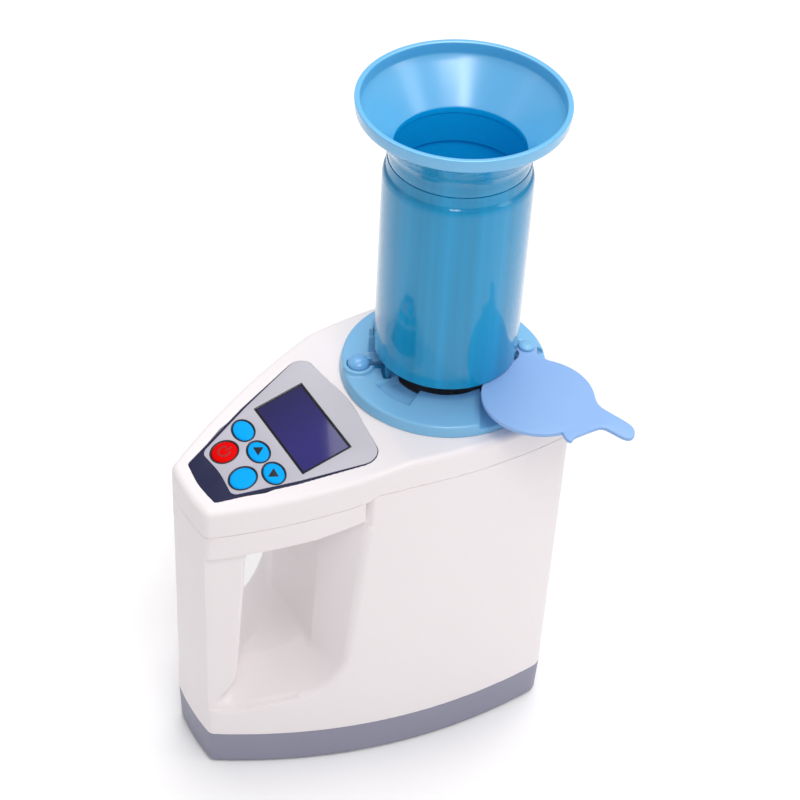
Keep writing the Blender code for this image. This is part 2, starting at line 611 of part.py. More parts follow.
def gate_ring():
    b = TOP_Z + GAP
    prof = [(RING_R0, b), (RING_R0, b + 1.2), (RING_R1 + 0.5, RING_TOP - 0.8), (RING_R1 - 0.6, RING_TOP), (RING_HOLE + 0.8, RING_TOP), (RING_HOLE, RING_TOP - 0.8),
            (RING_HOLE, 237.4), (RING_HOLE + 2.4, 237.4), (RING_HOLE + 2.4, 245.0), (48.0, 245.0), (48.0, 238.0), (50.4, 238.0), (50.4, b)]
    ob = turned("gate_ring", prof, 64)
    # collar that carries the drop cylinder, open on the gate's side
    col = sector("c", 37.2, 45.0, 2, 146, 248.0, 263.1, 18)
    boolean(ob, col, "UNION")
    lip = sector("c", 42.5, 45.0, 4, 144, 255.0, 268.0, 18)
    boolean(ob, lip, "UNION")
    # lowered floor below the open gate and its hub
    floor = prism("f", [turn(*q) for q in ((5.9, -30.4), (-15.4, -66.0), (75.0, -66.0), (66.0, -28.0), (57.4, -19.0), (54.0, -12.6), (50.0, -6.0), (45.0, -2.6), (38.0, -1.6), (24.0, -12.0))], 247.4, 252.5)
    boolean(ob, floor)
    # boss round the pivot
    px, py = PIVOT
    boolean(ob, cyl("b", 6.6, 246.6, 259.9, px, py, 20), "UNION")
    boolean(ob, cyl("b", 1.75, 240.0, 262.0, px, py, 12))
    # finger notch below the closed gate's handle
    notch = sector("n", 36.0, 46.5, -177, -146, 248.2, 252.0, 6)
    boolean(ob, notch)
    # button socket and the latch slot beside it
    bx, by = BUTTON
    boolean(ob, cyl("s", 9.3, 247.0, 253.4, bx, by, 24), "UNION")
    boolean(ob, cyl("s", 7.0, 240.0, 256.0, bx, by, 24))
    ang = math.degrees(math.atan2(by, bx))
    for slot in (box("s", 34.0, 50.9, -3.1, 3.1, 240.0, 256.0), box("s", 33.9, 38.6, -3.0, 12.8, 242.0, 256.0)):
        slot.rotation_euler = (0, 0, math.radians(ang))
        boolean(ob, slot)
    # hanger below the slot, with the pin that the latch spring sits on
    for b in (box("h", 48.3, 50.2, -4.6, 4.6, 226.0, 239.6), box("h", 38.2, 49.4, -4.6, 4.6, 226.0, 228.0)):
        b.rotation_euler = (0, 0, math.radians(ang))
        boolean(ob, b, "UNION")
    boolean(ob, cyl("h", 1.6, 227.0, 240.5, 42.5 * math.cos(math.radians(ang)), 42.5 * math.sin(math.radians(ang)), 10), "UNION")
    return finish(ob, RINGBLUE)


ring = gate_ring()

# release button, latch and their spring share one vertical travel
bx, by = BUTTON
ang_b = math.atan2(by, bx)
button_axis = bpy.data.objects.new("button_axis", None)
button_axis.location = (bx * MM, by * MM, 0)
button_axis.rotation_euler = (0, 0, ang_b)
button_axis.parent = root
parts.objects.link(button_axis)
bpy.context.view_layer.update()
finish(turned("release_button", [(0, 257.2), (2.4, 257.0), (4.6, 256.3), (6.0, 255.2), (6.5, 254.0), (6.5, 249.2), (0, 249.2)], 32, button_axis), GATEBLUE)
# latch arm: from under the button to the nose that holds the gate's tooth
lat = box("gate_latch", -16.7, -1.0, -2.6, 2.6, 245.6, 248.9, button_axis)
boolean(lat, box("l", -16.7, -13.2, -1.0, 12.2, 245.6, 248.9, button_axis), "UNION")
boolean(lat, xz_prism("l", [(-16.7, 246.5), (-16.7, 259.4), (-16.1, 260.0), (-14.6, 260.0), (-14.0, 259.4), (-14.0, 246.5)], 8.0, 12.2, button_axis), "UNION")
finish(lat, CYLBLUE, smooth=False)


def coil(name, r, wire, z0, z1, turns, cx, cy, material, per=10, legs=()):
    cu = bpy.data.curves.new(name, "CURVE")
    cu.dimensions = "3D"
    cu.bevel_depth = wire * MM
    cu.bevel_resolution = 1
    cu.use_fill_caps = True
    pts = []
    m = int(turns * per)
    for i in range(m + 1):
        a = 2 * math.pi * i / per
        pts.append((cx + r * math.cos(a), cy + r * math.sin(a), z0 + (z1 - z0) * i / m))
    pts = list(legs) + pts
    sp = cu.splines.new("POLY")
    sp.points.add(len(pts) - 1)
    for p, q in zip(sp.points, pts):
        p.co = (q[0] * MM, q[1] * MM, q[2] * MM, 1)
    ob = bpy.data.objects.new(name, cu)
    ob.parent = root
    parts.objects.link(ob)
    return finish(evaluated(ob), material)


coil("latch_spring", 3.2, 0.4, 228.8, 244.8, 5, 42.5 * math.cos(ang_b), 42.5 * math.sin(ang_b), STEEL)

# ---- swing gate ----------------------------------------------------------------------
def hull_arc(c, r, a0, a1, n):
    return [(c[0] + r * math.cos(math.radians(a0 + (a1 - a0) * i / n)), c[1] + r * math.sin(math.radians(a0 + (a1 - a0) * i / n))) for i in range(n + 1)]


gate_axis = bpy.data.objects.new("gate_axis", None)
gate_axis.location = (PIVOT[0] * MM, PIVOT[1] * MM, 0)
gate_axis.parent = root
parts.objects.link(gate_axis)
bpy.context.view_layer.update()


def gate_outline():
    c, p = GATE_C, PIVOT
    o = []
    # hub, anticlockwise from the outer side round the top
    o += hull_arc(p, 6.4, -58, 193, 14)
    # inner flank into the disc (anticlockwise: disc's left side next)
    o += [turn(33.6, -27.6), turn(30.2, -30.6)]
    o += hull_arc(c, GATE_R, 86 + TURN, 262 + TURN, 26)
    # tooth
    o += [turn(*q) for q in ((18.2, -100.4), (18.3, -103.4), (20.2, -104.9), (22.5, -102.6), (28.0, -102.3), (38.5, -102.1))]
    # handle
    o += [turn(*q) for q in ((42.2, -103.0), (44.6, -108.6), (47.3, -115.6), (50.2, -118.2), (54.0, -117.2), (56.9, -113.0), (57.3, -108.0), (53.2, -96.4), (50.6, -89.0), (50.6, -84.2))]
    o += hull_arc(c, GATE_R, -27 + TURN, 46 + TURN, 12)
    o += [turn(44.6, -37.2), turn(43.4, -33.4)]
    return [(x - p[0], y - p[1]) for x, y in o]


GATE_OUT = gate_outline()
hub_hole = circle(1.8, 12)
gate = flat("gate_plate", [GATE_OUT, hub_hole], GATE_Z0, GATE_Z1, gate_axis)
finish(gate, GATEBLUE, smooth=False)
finish(turned("gate_pivot_screw", [(0, 265.6), (2.6, 265.4), (4.2, 264.8), (4.9, 264.0), (4.9, 263.2), (1.5, 263.2), (1.5, 244.6), (0, 244.6)], 16, cx=PIVOT[0], cy=PIVOT[1]), STEEL)
coil("gate_spring", 7.7, 0.45, 252.0, 257.0, 4, PIVOT[0], PIVOT[1], STEEL, 12)

# ---- drop cylinder and funnel -----------------------------------------------------
finish(turned("drop_cylinder", [(CYL_R, CYL_BOT + 0.5), (CYL_R, 384.8), (41.4, 387.4), (40.2, 388.8), (39.9, 389.2), (39.9, CYL_TOP - 0.2), (38.7, CYL_TOP - 0.2), (38.7, 276.0),
                                (OUTLET_R, 265.6), (OUTLET_R, CYL_BOT), (CYL_R - 0.5, CYL_BOT)], 64), CYLBLUE)
finish(turned("funnel", [(FUNNEL_R, FUNNEL_TOP - 1.0), (FUNNEL_R - 0.6, 425.4), (56.6, 424.8), (41.6, 408.6), (40.0, 404.0), (39.6, CYL_TOP + 0.1), (38.3, CYL_TOP + 0.1), (38.3, 380.0),
                         (37.1, 380.0), (37.1, 399.0), (36.6, 399.3), (36.6, 403.0), (53.9, 423.6), (55.4, 425.6), (55.6, FUNNEL_TOP - 0.8), (56.3, FUNNEL_TOP), (58.0, FUNNEL_TOP)], 64), CYLBLUE)

# ---- weighing cup and load cell ---------------------------------------------------
finish(turned("measuring_cup", [(CUP_R + 2.0, CUP_TOP), (CUP_R + 2.0, CUP_BOT), (0, CUP_BOT), (0, CUP_BOT + 2.4), (CUP_R, CUP_BOT + 2.4), (CUP_R, CUP_TOP)], 40), ALU)
finish(turned("centre_electrode", [(0, 212.0), (4.5, 211.0), (7.6, 207.0), (8.5, 201.0), (8.5, CUP_BOT + 2.8), (0, CUP_BOT + 2.8)], 24), ALU)
finish(turned("temperature_probe", [(0, 172.0), (1.6, 171.0), (2.2, 168.0), (2.2, CUP_BOT + 2.8), (0, CUP_BOT + 2.8)], 10, cx=22.0), STEEL)
finish(turned("cup_seat", [(27.0, 131.0), (27.0, 128.4), (10.0, 126.4), (7.0, 121.4), (0, 121.4), (0, 131.0)], 24), BLACK)
finish(box("load_cell", -9.0, 50.0, -6.3, 6.3, 108.4, 121.1), ALU, smooth=False)
finish(box("load_cell_bracket", 32.0, 50.0, -13.0, 13.0, 3.3, 108.1), ALU, smooth=False)

# ---- electronics and cells --------------------------------------------------------
finish(box("main_board", -48.0, 24.0, -42.0, 42.0, 36.0, 37.6), PCB, smooth=False)
for i, (x, y) in enumerate(((-42, 36), (-42, -36), (18, 36), (18, -36))):
    finish(cyl("board_spacer_%d" % (i + 1), 3.0, 3.3, 35.7, x, y, 10), BLACK)
hold = box("battery_holder", -126.5, -63.5, -28.3, 28.3, 4.0, 22.5)
boolean(hold, box("h", -124.5, -65.5, -26.3, 26.3, -5.0, 21.0))
finish(hold, BLACK, smooth=False)
for i in range(4):
    x = -117.2 + 14.8 * i
    ob = cyl("battery_cell_%d" % (i + 1), 7.1, -25.2, 25.2, 0, 0, 16)
    ob.rotation_euler = (math.pi / 2, 0, 0)
    ob.location = (x * MM, 0, 13.0 * MM)
    finish(ob, CELL)
# flat cable from the display board down to the main board
rib = [(-58.0, 222.5), (-58.0, 60.0), (-54.0, 50.0), (-40.0, 40.5)]
pl = []
for x, z in rib:
    pl.append((x, z))
back = [(x + (1.0 if i < 2 else 0.6), z + (0.0 if i < 2 else 0.9)) for i, (x, z) in enumerate(pl)]
finish(xz_prism("ribbon_cable", pl + back[::-1], -9.0, 9.0), BRASSY, smooth=False)
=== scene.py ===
import json
import math
import bpy
import bmesh
import numpy as np
from mathutils import Matrix, Vector

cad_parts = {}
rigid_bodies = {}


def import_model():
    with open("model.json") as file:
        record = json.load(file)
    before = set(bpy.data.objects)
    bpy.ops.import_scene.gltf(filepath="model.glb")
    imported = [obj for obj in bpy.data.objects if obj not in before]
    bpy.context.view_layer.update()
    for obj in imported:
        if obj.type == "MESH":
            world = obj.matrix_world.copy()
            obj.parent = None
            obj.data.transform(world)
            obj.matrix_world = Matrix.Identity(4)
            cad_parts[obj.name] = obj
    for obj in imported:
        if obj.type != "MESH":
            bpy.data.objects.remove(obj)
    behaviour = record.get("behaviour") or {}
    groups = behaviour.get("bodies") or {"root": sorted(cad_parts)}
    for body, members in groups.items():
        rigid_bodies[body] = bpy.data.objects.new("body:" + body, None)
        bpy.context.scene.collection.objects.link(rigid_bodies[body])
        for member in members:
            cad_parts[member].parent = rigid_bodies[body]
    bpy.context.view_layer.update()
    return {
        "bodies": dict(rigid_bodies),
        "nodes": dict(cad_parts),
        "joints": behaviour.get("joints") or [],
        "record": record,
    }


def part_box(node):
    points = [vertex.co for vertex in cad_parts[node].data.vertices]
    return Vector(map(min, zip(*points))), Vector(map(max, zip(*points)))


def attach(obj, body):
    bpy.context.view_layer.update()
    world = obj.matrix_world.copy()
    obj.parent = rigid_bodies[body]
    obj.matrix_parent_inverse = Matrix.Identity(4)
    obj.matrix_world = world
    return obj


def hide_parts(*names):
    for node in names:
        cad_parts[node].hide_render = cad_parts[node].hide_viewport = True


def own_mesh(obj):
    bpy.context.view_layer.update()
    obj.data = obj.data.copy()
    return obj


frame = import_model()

NODES = frame["nodes"]
MM = 0.001
Z0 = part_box("base_tray")[0].z / MM          # the feet lift the body by this much, mm


# ------------------------------------------------------------------ materials
def new_mat(name):
    m = bpy.data.materials.new(name)
    m.use_nodes = True
    nt = m.node_tree
    b = nt.nodes["Principled BSDF"]
    return m, nt, b


def lin(rgb):
    """sRGB 0-255 to linear."""
    out = []
    for c in rgb:
        c = c / 255.0
        out.append(c / 12.92 if c <= 0.04045 else ((c + 0.055) / 1.055) ** 2.4)
    return out


def plastic(name, rgb, rough=0.35, vary=0.03, grain=0.00035, bump=0.06, coat=0.0, coat_rough=0.08,
            spec=0.5, metal=0.0, rough_vary=0.06, streak=0.0, sheen=0.0, subsurf=0.0):
    """Moulded plastic: slow colour drift, fine spark-eroded grain in the bump and roughness, faint handling marks."""
    m, nt, b = new_mat(name)
    n, l = nt.nodes, nt.links
    c = lin(rgb)
    tc = n.new("ShaderNodeTexCoord")
    big = n.new("ShaderNodeTexNoise")
    big.inputs["Scale"].default_value = 14.0
    big.inputs["Detail"].default_value = 3.0
    l.new(tc.outputs["Object"], big.inputs["Vector"])
    ramp = n.new("ShaderNodeMixRGB")
    ramp.blend_type = "MIX"
    ramp.inputs[1].default_value = (*[max(0.0, x * (1 - vary)) for x in c], 1)
    ramp.inputs[2].default_value = (*[min(1.0, x * (1 + vary)) for x in c], 1)
    l.new(big.outputs["Fac"], ramp.inputs[0])
    l.new(ramp.outputs[0], b.inputs["Base Color"])
    fine = n.new("ShaderNodeTexNoise")
    fine.inputs["Scale"].default_value = 1.0 / grain
    fine.inputs["Detail"].default_value = 2.0
    l.new(tc.outputs["Object"], fine.inputs["Vector"])
    marks = n.new("ShaderNodeTexNoise")
    marks.inputs["Scale"].default_value = 55.0
    marks.inputs["Detail"].default_value = 6.0
    marks.inputs["Roughness"].default_value = 0.65
    l.new(tc.outputs["Object"], marks.inputs["Vector"])
    mr = n.new("ShaderNodeMapRange")
    mr.inputs["From Min"].default_value = 0.35
    mr.inputs["From Max"].default_value = 0.7
    mr.inputs["To Min"].default_value = max(0.02, rough - rough_vary)
    mr.inputs["To Max"].default_value = rough + rough_vary
    l.new(marks.outputs["Fac"], mr.inputs["Value"])
    l.new(mr.outputs["Result"], b.inputs["Roughness"])
    if bump > 0:
        bp = n.new("ShaderNodeBump")
        bp.inputs["Strength"].default_value = bump
        bp.inputs["Distance"].default_value = 0.0001
        l.new(fine.outputs["Fac"], bp.inputs["Height"])
        l.new(bp.outputs["Normal"], b.inputs["Normal"])
    b.inputs["Metallic"].default_value = metal
    b.inputs["Specular IOR Level"].default_value = spec
    b.inputs["Coat Weight"].default_value = coat
    b.inputs["Coat Roughness"].default_value = coat_rough
    if subsurf:
        b.inputs["Subsurface Weight"].default_value = subsurf
        b.inputs["Subsurface Radius"].default_value = (0.004, 0.003, 0.003)
        b.inputs["Subsurface Scale"].default_value = 0.5
    m.diffuse_color = (*c, 1)
    return m


M_WHITE = plastic("m_housing_white", (232, 226, 227), rough=0.40, vary=0.010, bump=0.07, spec=0.45)
M_GREY = plastic("m_base_grey", (136, 136, 155), rough=0.48, vary=0.03, bump=0.12)
M_NAVY = plastic("m_panel_navy", (30, 32, 66), rough=0.42, vary=0.05, bump=0.04, spec=0.3)
M_SILVER = plastic("m_panel_silver", (184, 184, 192), rough=0.45, vary=0.02, grain=0.0002, bump=0.04, metal=0.1, spec=0.3)
M_GLASS = plastic("m_lcd", (44, 40, 106), rough=0.14, vary=0.05, bump=0.0, coat=0.1, coat_rough=0.04, rough_vary=0.02, spec=0.3)
M_MASK = plastic("m_lcd_mask", (12, 12, 18), rough=0.18, vary=0.03, bump=0.0, rough_vary=0.02)
M_INK = plastic("m_print_ink", (14, 15, 24), rough=0.42, vary=0.05, bump=0.02)
M_REDMARK = plastic("m_red_mark", (150, 8, 14), rough=0.45, vary=0.04, bump=0.02)
M_KEYBLUE = plastic("m_key_blue", (0, 160, 240), rough=0.5, vary=0.03, bump=0.05, spec=0.08)
M_KEYRED = plastic("m_key_red", (214, 0, 0), rough=0.5, vary=0.04, bump=0.05, spec=0.05)
M_RING = plastic("m_ring_blue", (122, 182, 221), rough=0.30, vary=0.012, bump=0.015, coat=0.2, coat_rough=0.14, spec=0.4, rough_vary=0.01)
M_BUTTON = plastic("m_button_blue", (112, 176, 226), rough=0.3, vary=0.012, bump=0.02, rough_vary=0.02, coat=0.2)
M_CYL = plastic("m_cylinder_blue", (0, 140, 190), rough=0.24, vary=0.012, bump=0.006, coat=0.7, coat_rough=0.03, rough_vary=0.015, spec=0.2)
# lighter copy of the funnel's blue: painted light on the inside of the cone and the rim
M_FUNNEL_PAINTED_LIGHT = plastic("m_funnel_blue_painted_light", (82, 170, 218), rough=0.33, vary=0.012, bump=0.008, coat=0.9, coat_rough=0.22, rough_vary=0.015, spec=0.9)
# lighter copy of the tube's blue: painted light in the bore and the funnel's inner neck
M_THROAT_PAINTED_LIGHT = plastic("m_throat_blue_painted_light", (10, 168, 226), rough=0.26, vary=0.012, bump=0.006, coat=0.4, coat_rough=0.06, rough_vary=0.015, spec=0.3)
M_LATCH = plastic("m_latch_teal", (50, 136, 184), rough=0.3, vary=0.03, bump=0.03)
M_GATE = plastic("m_gate_blue", (134, 172, 222), rough=0.40, vary=0.015, bump=0.05)
M_RUBBER = plastic("m_rubber", (30, 30, 32), rough=0.8, vary=0.08, bump=0.3)
M_STEEL = plastic("m_steel", (190, 192, 196), rough=0.28, vary=0.03, bump=0.05, metal=1.0)
M_ALU = plastic("m_aluminium", (214, 216, 220), rough=0.32, vary=0.03, bump=0.06, metal=1.0)
M_PCB = plastic("m_circuit_board", (22, 104, 52), rough=0.4, vary=0.08, grain=0.001, bump=0.1)
M_BLACK = plastic("m_black_plastic", (32, 32, 35), rough=0.5, vary=0.06, bump=0.12)
M_CELL = plastic("m_cell_wrap", (70, 78, 92), rough=0.32, vary=0.08, bump=0.03, metal=0.4)
M_RIBBON = plastic("m_ribbon", (172, 174, 182), rough=0.5, vary=0.05, bump=0.05)



def graded(mat, axis, u0, u1, dark, light):
    """Colour that changes slowly along one axis of the piece."""
    n, l = mat.node_tree.nodes, mat.node_tree.links
    b = n["Principled BSDF"]
    tc = n.new("ShaderNodeTexCoord")
    sep = n.new("ShaderNodeSeparateXYZ")
    l.new(tc.outputs["Object"], sep.inputs[0])
    mr = n.new("ShaderNodeMapRange")
    mr.inputs["From Min"].default_value = u0
    mr.inputs["From Max"].default_value = u1
    l.new(sep.outputs[axis], mr.inputs["Value"])
    mx = n.new("ShaderNodeMixRGB")
    mx.inputs[1].default_value = (*lin(dark), 1)
    mx.inputs[2].default_value = (*lin(light), 1)
    l.new(mr.outputs["Result"], mx.inputs[0])
    l.new(mx.outputs[0], b.inputs["Base Color"])


graded(M_SILVER, "X", -0.140, -0.062, (178, 176, 187), (192, 190, 197))
graded(M_GLASS, "Y", -0.01, 0.034, (46, 42, 110), (30, 27, 76))


def painted_reflection_streaks(mat, amount):
    """Faint streaks along the axis, multiplied into the base colour: painted reflections."""
    n, l = mat.node_tree.nodes, mat.node_tree.links
    b = n["Principled BSDF"]
    tc = n.new("ShaderNodeTexCoord")
    mp = n.new("ShaderNodeMapping")
    mp.inputs["Scale"].default_value = (1.0, 1.0, 0.012)
    l.new(tc.outputs["Object"], mp.inputs["Vector"])
    nz = n.new("ShaderNodeTexNoise")
    nz.inputs["Scale"].default_value = 95.0
    nz.inputs["Detail"].default_value = 5.0
    nz.inputs["Roughness"].default_value = 0.62
    l.new(mp.outputs["Vector"], nz.inputs["Vector"])
    mr = n.new("ShaderNodeMapRange")
    mr.inputs["From Min"].default_value = 0.3
    mr.inputs["From Max"].default_value = 0.7
    mr.inputs["To Min"].default_value = 1.0 - amount
    mr.inputs["To Max"].default_value = 1.0 + amount
    l.new(nz.outputs["Fac"], mr.inputs["Value"])
    src = b.inputs["Base Color"].links[0].from_socket
    mul = n.new("ShaderNodeMixRGB")
    mul.blend_type = "MULTIPLY"
    mul.inputs[0].default_value = 1.0
    l.new(src, mul.inputs[1])
    l.new(mr.outputs["Result"], mul.inputs[2])
    l.new(mul.outputs[0], b.inputs["Base Color"])


# painted reflections: vertical streaks lighten and darken the cylinder's blue
painted_reflection_streaks(M_CYL, 0.16)

BY_SLOT = {"housing_white": M_WHITE, "base_grey": M_GREY, "panel_navy": M_NAVY, "panel_silver": M_SILVER, "lcd_face": M_GLASS,
           "key_blue": M_KEYBLUE, "key_red": M_KEYRED, "ring_blue": M_RING, "cylinder_blue": M_CYL, "gate_blue": M_GATE,
           "rubber_black": M_RUBBER, "steel": M_STEEL, "aluminium": M_ALU, "circuit_board": M_PCB, "black_plastic": M_BLACK,
           "cell_wrap": M_CELL, "ribbon_grey": M_RIBBON}
SLOT_OF = {s["node"]: s["material_slot"] for s in frame["record"]["subparts"]}
for node, ob in NODES.items():
    ob.data.materials.clear()
    ob.data.materials.append(BY_SLOT[SLOT_OF[node]])

# ------------------------------------------------------------------ shape fields, mm
AX, AH, AN = -165.8, 22.9, -167.5         # narrow end: corner x, half-width, nose
BX, BH, BN = 48.2, 65.4, 65.9             # blunt end
BULGE, DRAFT, TOP_Z, BASE_H = 18.5, 0.003, 243.9, 26.1
SLOPE, PANEL_X, PANEL_Z = 0.264, -108.8, 230.2
COSB = 1 / math.hypot(1, SLOPE)
SINB = SLOPE * COSB
_d = math.hypot(BX - AX, BH - AH)
_nx, _ny = -(BH - AH) / _d, -(BX - AX) / _d
CX, CY = (AX + BX) / 2 + _nx * 2 * BULGE, -(AH + BH) / 2 + _ny * 2 * BULGE
QA, QB = AX - 2 * CX + BX, 2 * (CX - AX)


def smax(a, b, r):
    """Intersection of two solids with the shared edge rounded to radius r."""
    u, v = np.maximum(a + r, 0), np.maximum(b + r, 0)
    return np.minimum(-r, np.maximum(a, b)) + np.sqrt(u * u + v * v)


def smin(a, b, r):
    """Union with a fillet of radius r in the shared corner."""
    return -smax(-a, -b, r)


def smaxc(a, b, r, c):
    """Intersection with a true arc where the two faces' normals have dot product c."""
    u, v = a + r, b + r
    q = np.sqrt(np.maximum(u * u + v * v - 2 * u * v * c, 0) / (1 - c * c)) - r
    return np.where((u - c * v > 0) & (v - c * u > 0), q, np.maximum(a, b))


def side(x, y):
    """Distance outside the long side wall's base line."""
    t = (-QB + np.sqrt(np.maximum(QB * QB + 4 * QA * (x - AX), 1.0))) / (2 * QA)
    yc = (1 - t) ** 2 * -AH + 2 * t * (1 - t) * CY + t * t * -BH
    dy = (2 * (CY + AH) + 2 * t * (-AH - 2 * CY - BH)) / (QB + 2 * QA * t)
    return (np.abs(y) + yc) / np.sqrt(1 + dy * dy)


def plan(x, y):
    """Distance outside the body's outline."""
    e = (x - (BN - (BN - BX) * (y / BH) ** 2)) / np.sqrt(1 + (2 * (BN - BX) * y / BH ** 2) ** 2)
    n = ((AN + (AX - AN) * (y / AH) ** 2) - x) / np.sqrt(1 + (2 * (AX - AN) * y / AH ** 2) ** 2)
    return smaxc(smaxc(side(x, y), e, 12.0, 0.59), n, 6.0, 0.61)


def top(x, z, off=0.0):
    p = ((z - PANEL_Z) - (x - PANEL_X) * SLOPE) * COSB
    return smaxc(p, z - TOP_Z, 14.0, COSB) + off


def panel_z(x):
    return PANEL_Z + (x - PANEL_X) * SLOPE


PART_KX = [-200.0, -82.0, -75.5, -52.0, 200.0]
PART_KZ = [panel_z(-200.0) - 18.6, panel_z(-82.0) - 18.6, 223.2, 225.2, 225.2]


def above_part(x, z):
    return (z - np.interp(x, PART_KX, PART_KZ)) * 0.97


SHELF_KX = np.linspace(-172.0, -80.0, 93)
_kz = np.interp(SHELF_KX, [-172, -160, -149.5, -136, -122, -111, -104, -98, -95, -91.7, -88, -80], [47.4, 48.0, 49.2, 53.2, 57.0, 60.6, 64.2, 69.8, 74.2, 82.0, 90.0, 106.0])
SHELF_KZ = np.convolve(np.pad(_kz, 3, mode="edge"), np.ones(7) / 7, mode="valid")
FLOOR_KX = SHELF_KX
_kz = np.interp(SHELF_KX, [-172, -160, -148, -136, -122, -111, -104, -98, -92, -80], [63.4, 63.0, 62.0, 62.2, 65.0, 69.6, 75.0, 82.0, 91.0, 112.0])
FLOOR_KZ = np.convolve(np.pad(_kz, 3, mode="edge"), np.ones(7) / 7, mode="valid")


def shelf_z(x):
    return np.interp(x, SHELF_KX, SHELF_KZ)


def opening(x, y, z):
    """Hand opening, negative inside the hole; flares towards both faces."""
    d = -plan(x, y)
    q = np.clip(1 - d / 25.0, 0, 1.35)
    f = q
    xr = -97.6 + (z - 120) * 0.025 + f * (10.4 + (z - 120) * 0.055)
    R = (x - xr) * 0.97
    xm = np.interp(z, [55, 66, 82, 115, 150, 185], [-150.5, -149.8, -148.6, -147.0, -145.4, -144.6])
    xf = np.interp(z, [46, 50, 58, 67, 74, 82, 115, 150, 185], [-166, -164, -159.4, -153.4, -150.2, -149.2, -147.6, -146.0, -144.8])
    fl = np.clip(q * 1.15 - 0.15, 0, 1.2) ** 1.6
    L = (xm + fl * (xf - xm) - x) * 0.96
    T = z - np.interp(x, [-170, -145, -110, -96.7, -85.7, -80], [177.5, 184.9, 193.8, 198.9, 203.0, 206.0])
    zf = shelf_z(x)
    zm = np.interp(x, FLOOR_KX, FLOOR_KZ)
    fb = np.clip(1 - d / 34.0, 0, 1.3)
    slope = (shelf_z(x + 1.0) - shelf_z(x - 1.0)) / 2
    B = (zm + fb * (zf - zm) - z) / np.sqrt(1.02 + slope * slope)
    low = np.clip((130 - z) / 30, 0, 1)
    return smax(smax(L, B, 6.0), smax(R, T * 0.96, 1.6), 1.0 + 1.2 * low)


def housing_field(x, y, z):
    s = side(x, y) - DRAFT * z
    w = plan(x, y) - DRAFT * z
    out = smax(w, above_part(x, z) + 0.15, 0.4)
    out = smax(out, BASE_H + 0.15 - z, 0.4)
    # the grip post stands back from the lintel and the shelf
    lint = (z - (184.6 + (x + 145) * 0.262)) * 0.967
    shelf = shelf_z(x) + 0.2 - z
    cut = np.maximum(np.maximum(lint, shelf), np.maximum(x + 118, -(s + 2.0)))
    out = smax(out, -cut, 0.5)
    # rounded relief between the lintel's end and the wall
    g = np.maximum(np.maximum(-(x + 82.4), (x + 78.2 - s) * 0.707), np.maximum(200 - z, -(s + 5)))
    out = smax(out, -g, 0.7)
    o = opening(x, y, z)
    r = 0.7 + 2.6 * np.clip((186.0 + (x + 145) * 0.25 - 3.0 - z) / 6.0, 0, 1)
    out = smax(out, -o, r)
    cav = np.maximum(np.maximum(w + 2.8, 20 - z), np.maximum(-(o - 7.0), np.maximum(-(cut - 3.0), -(g - 4.0))))
    return np.maximum(out, -cav)


def poly_sdf(poly, x, y):
    """Signed distance to a closed polygon, negative inside."""
    x, y = np.broadcast_arrays(x, y)
    shp = x.shape
    px, py = x.ravel(), y.ravel()
    P = np.asarray(poly, float)
    Q = np.roll(P, -1, 0)
    d2 = np.full(px.shape, 1e18)
    ins = np.zeros(px.shape, bool)
    for (ax, ay), (bx, by) in zip(P, Q):
        ex, ey = bx - ax, by - ay
        wx, wy = px - ax, py - ay
        t = np.clip((wx * ex + wy * ey) / max(ex * ex + ey * ey, 1e-12), 0, 1)
        dx, dy = wx - ex * t, wy - ey * t
        d2 = np.minimum(d2, dx * dx + dy * dy)
        if ay != by:
            c = ((ay > py) != (by > py)) & (px < ex * (py - ay) / ey + ax)
            ins ^= c
    return (np.sqrt(d2) * np.where(ins, -1, 1)).reshape(shp)


def rounded(poly, rads, n=8):
    out = []
    m = len(poly)
    for i, (p, r) in enumerate(zip(poly, rads)):
        a, b = Vector(poly[i - 1]), Vector(poly[(i + 1) % m])
        p = Vector(p)
        u, v = (a - p).normalized(), (b - p).normalized()
        ang = u.angle(v)
        t = r / math.tan(ang / 2)
        c = p + (u + v).normalized() * (r / math.sin(ang / 2))
        s, e = p + u * t, p + v * t
        a0 = math.atan2(s.y - c.y, s.x - c.x)
        a1 = math.atan2(e.y - c.y, e.x - c.x)
        while a1 - a0 > math.pi:
            a1 -= 2 * math.pi
        while a1 - a0 < -math.pi:
            a1 += 2 * math.pi
        for k in range(n + 1):
            q = a0 + (a1 - a0) * k / n
            out.append((c.x + r * math.cos(q), c.y + r * math.sin(q)))
    return out


PANEL_OUT = rounded([(-51.0, -18.0), (-6.0, -36.0), (42.0, -51.2), (47.8, 0.0), (42.0, 51.2), (-6.0, 36.0), (-51.0, 18.0), (-53.0, 0.0)],
                    [3.0, 60, 9.0, 90, 9.0, 60, 3.0, 60])
PLATE_OUT = rounded([(-40.6, -19.6), (-4.0, -34.7), (41.9, -50.75), (47.85, 0.0), (41.9, 50.75), (-4.0, 34.7), (-40.6, 19.6), (-38.6, 0.0)],
                    [5.0, 60, 8.6, 90, 8.6, 60, 5.0, 60])
WIN_OUT = [(-40, -22), (-24, -30), (-4, -34), (33, -34), (33, 34), (-4, 34), (-24, 30), (-40, 22)]


def to_panel(x, z):
    dx, dz = x - PANEL_X, z - PANEL_Z
    return dx * COSB + dz * SINB, -dx * SINB + dz * COSB


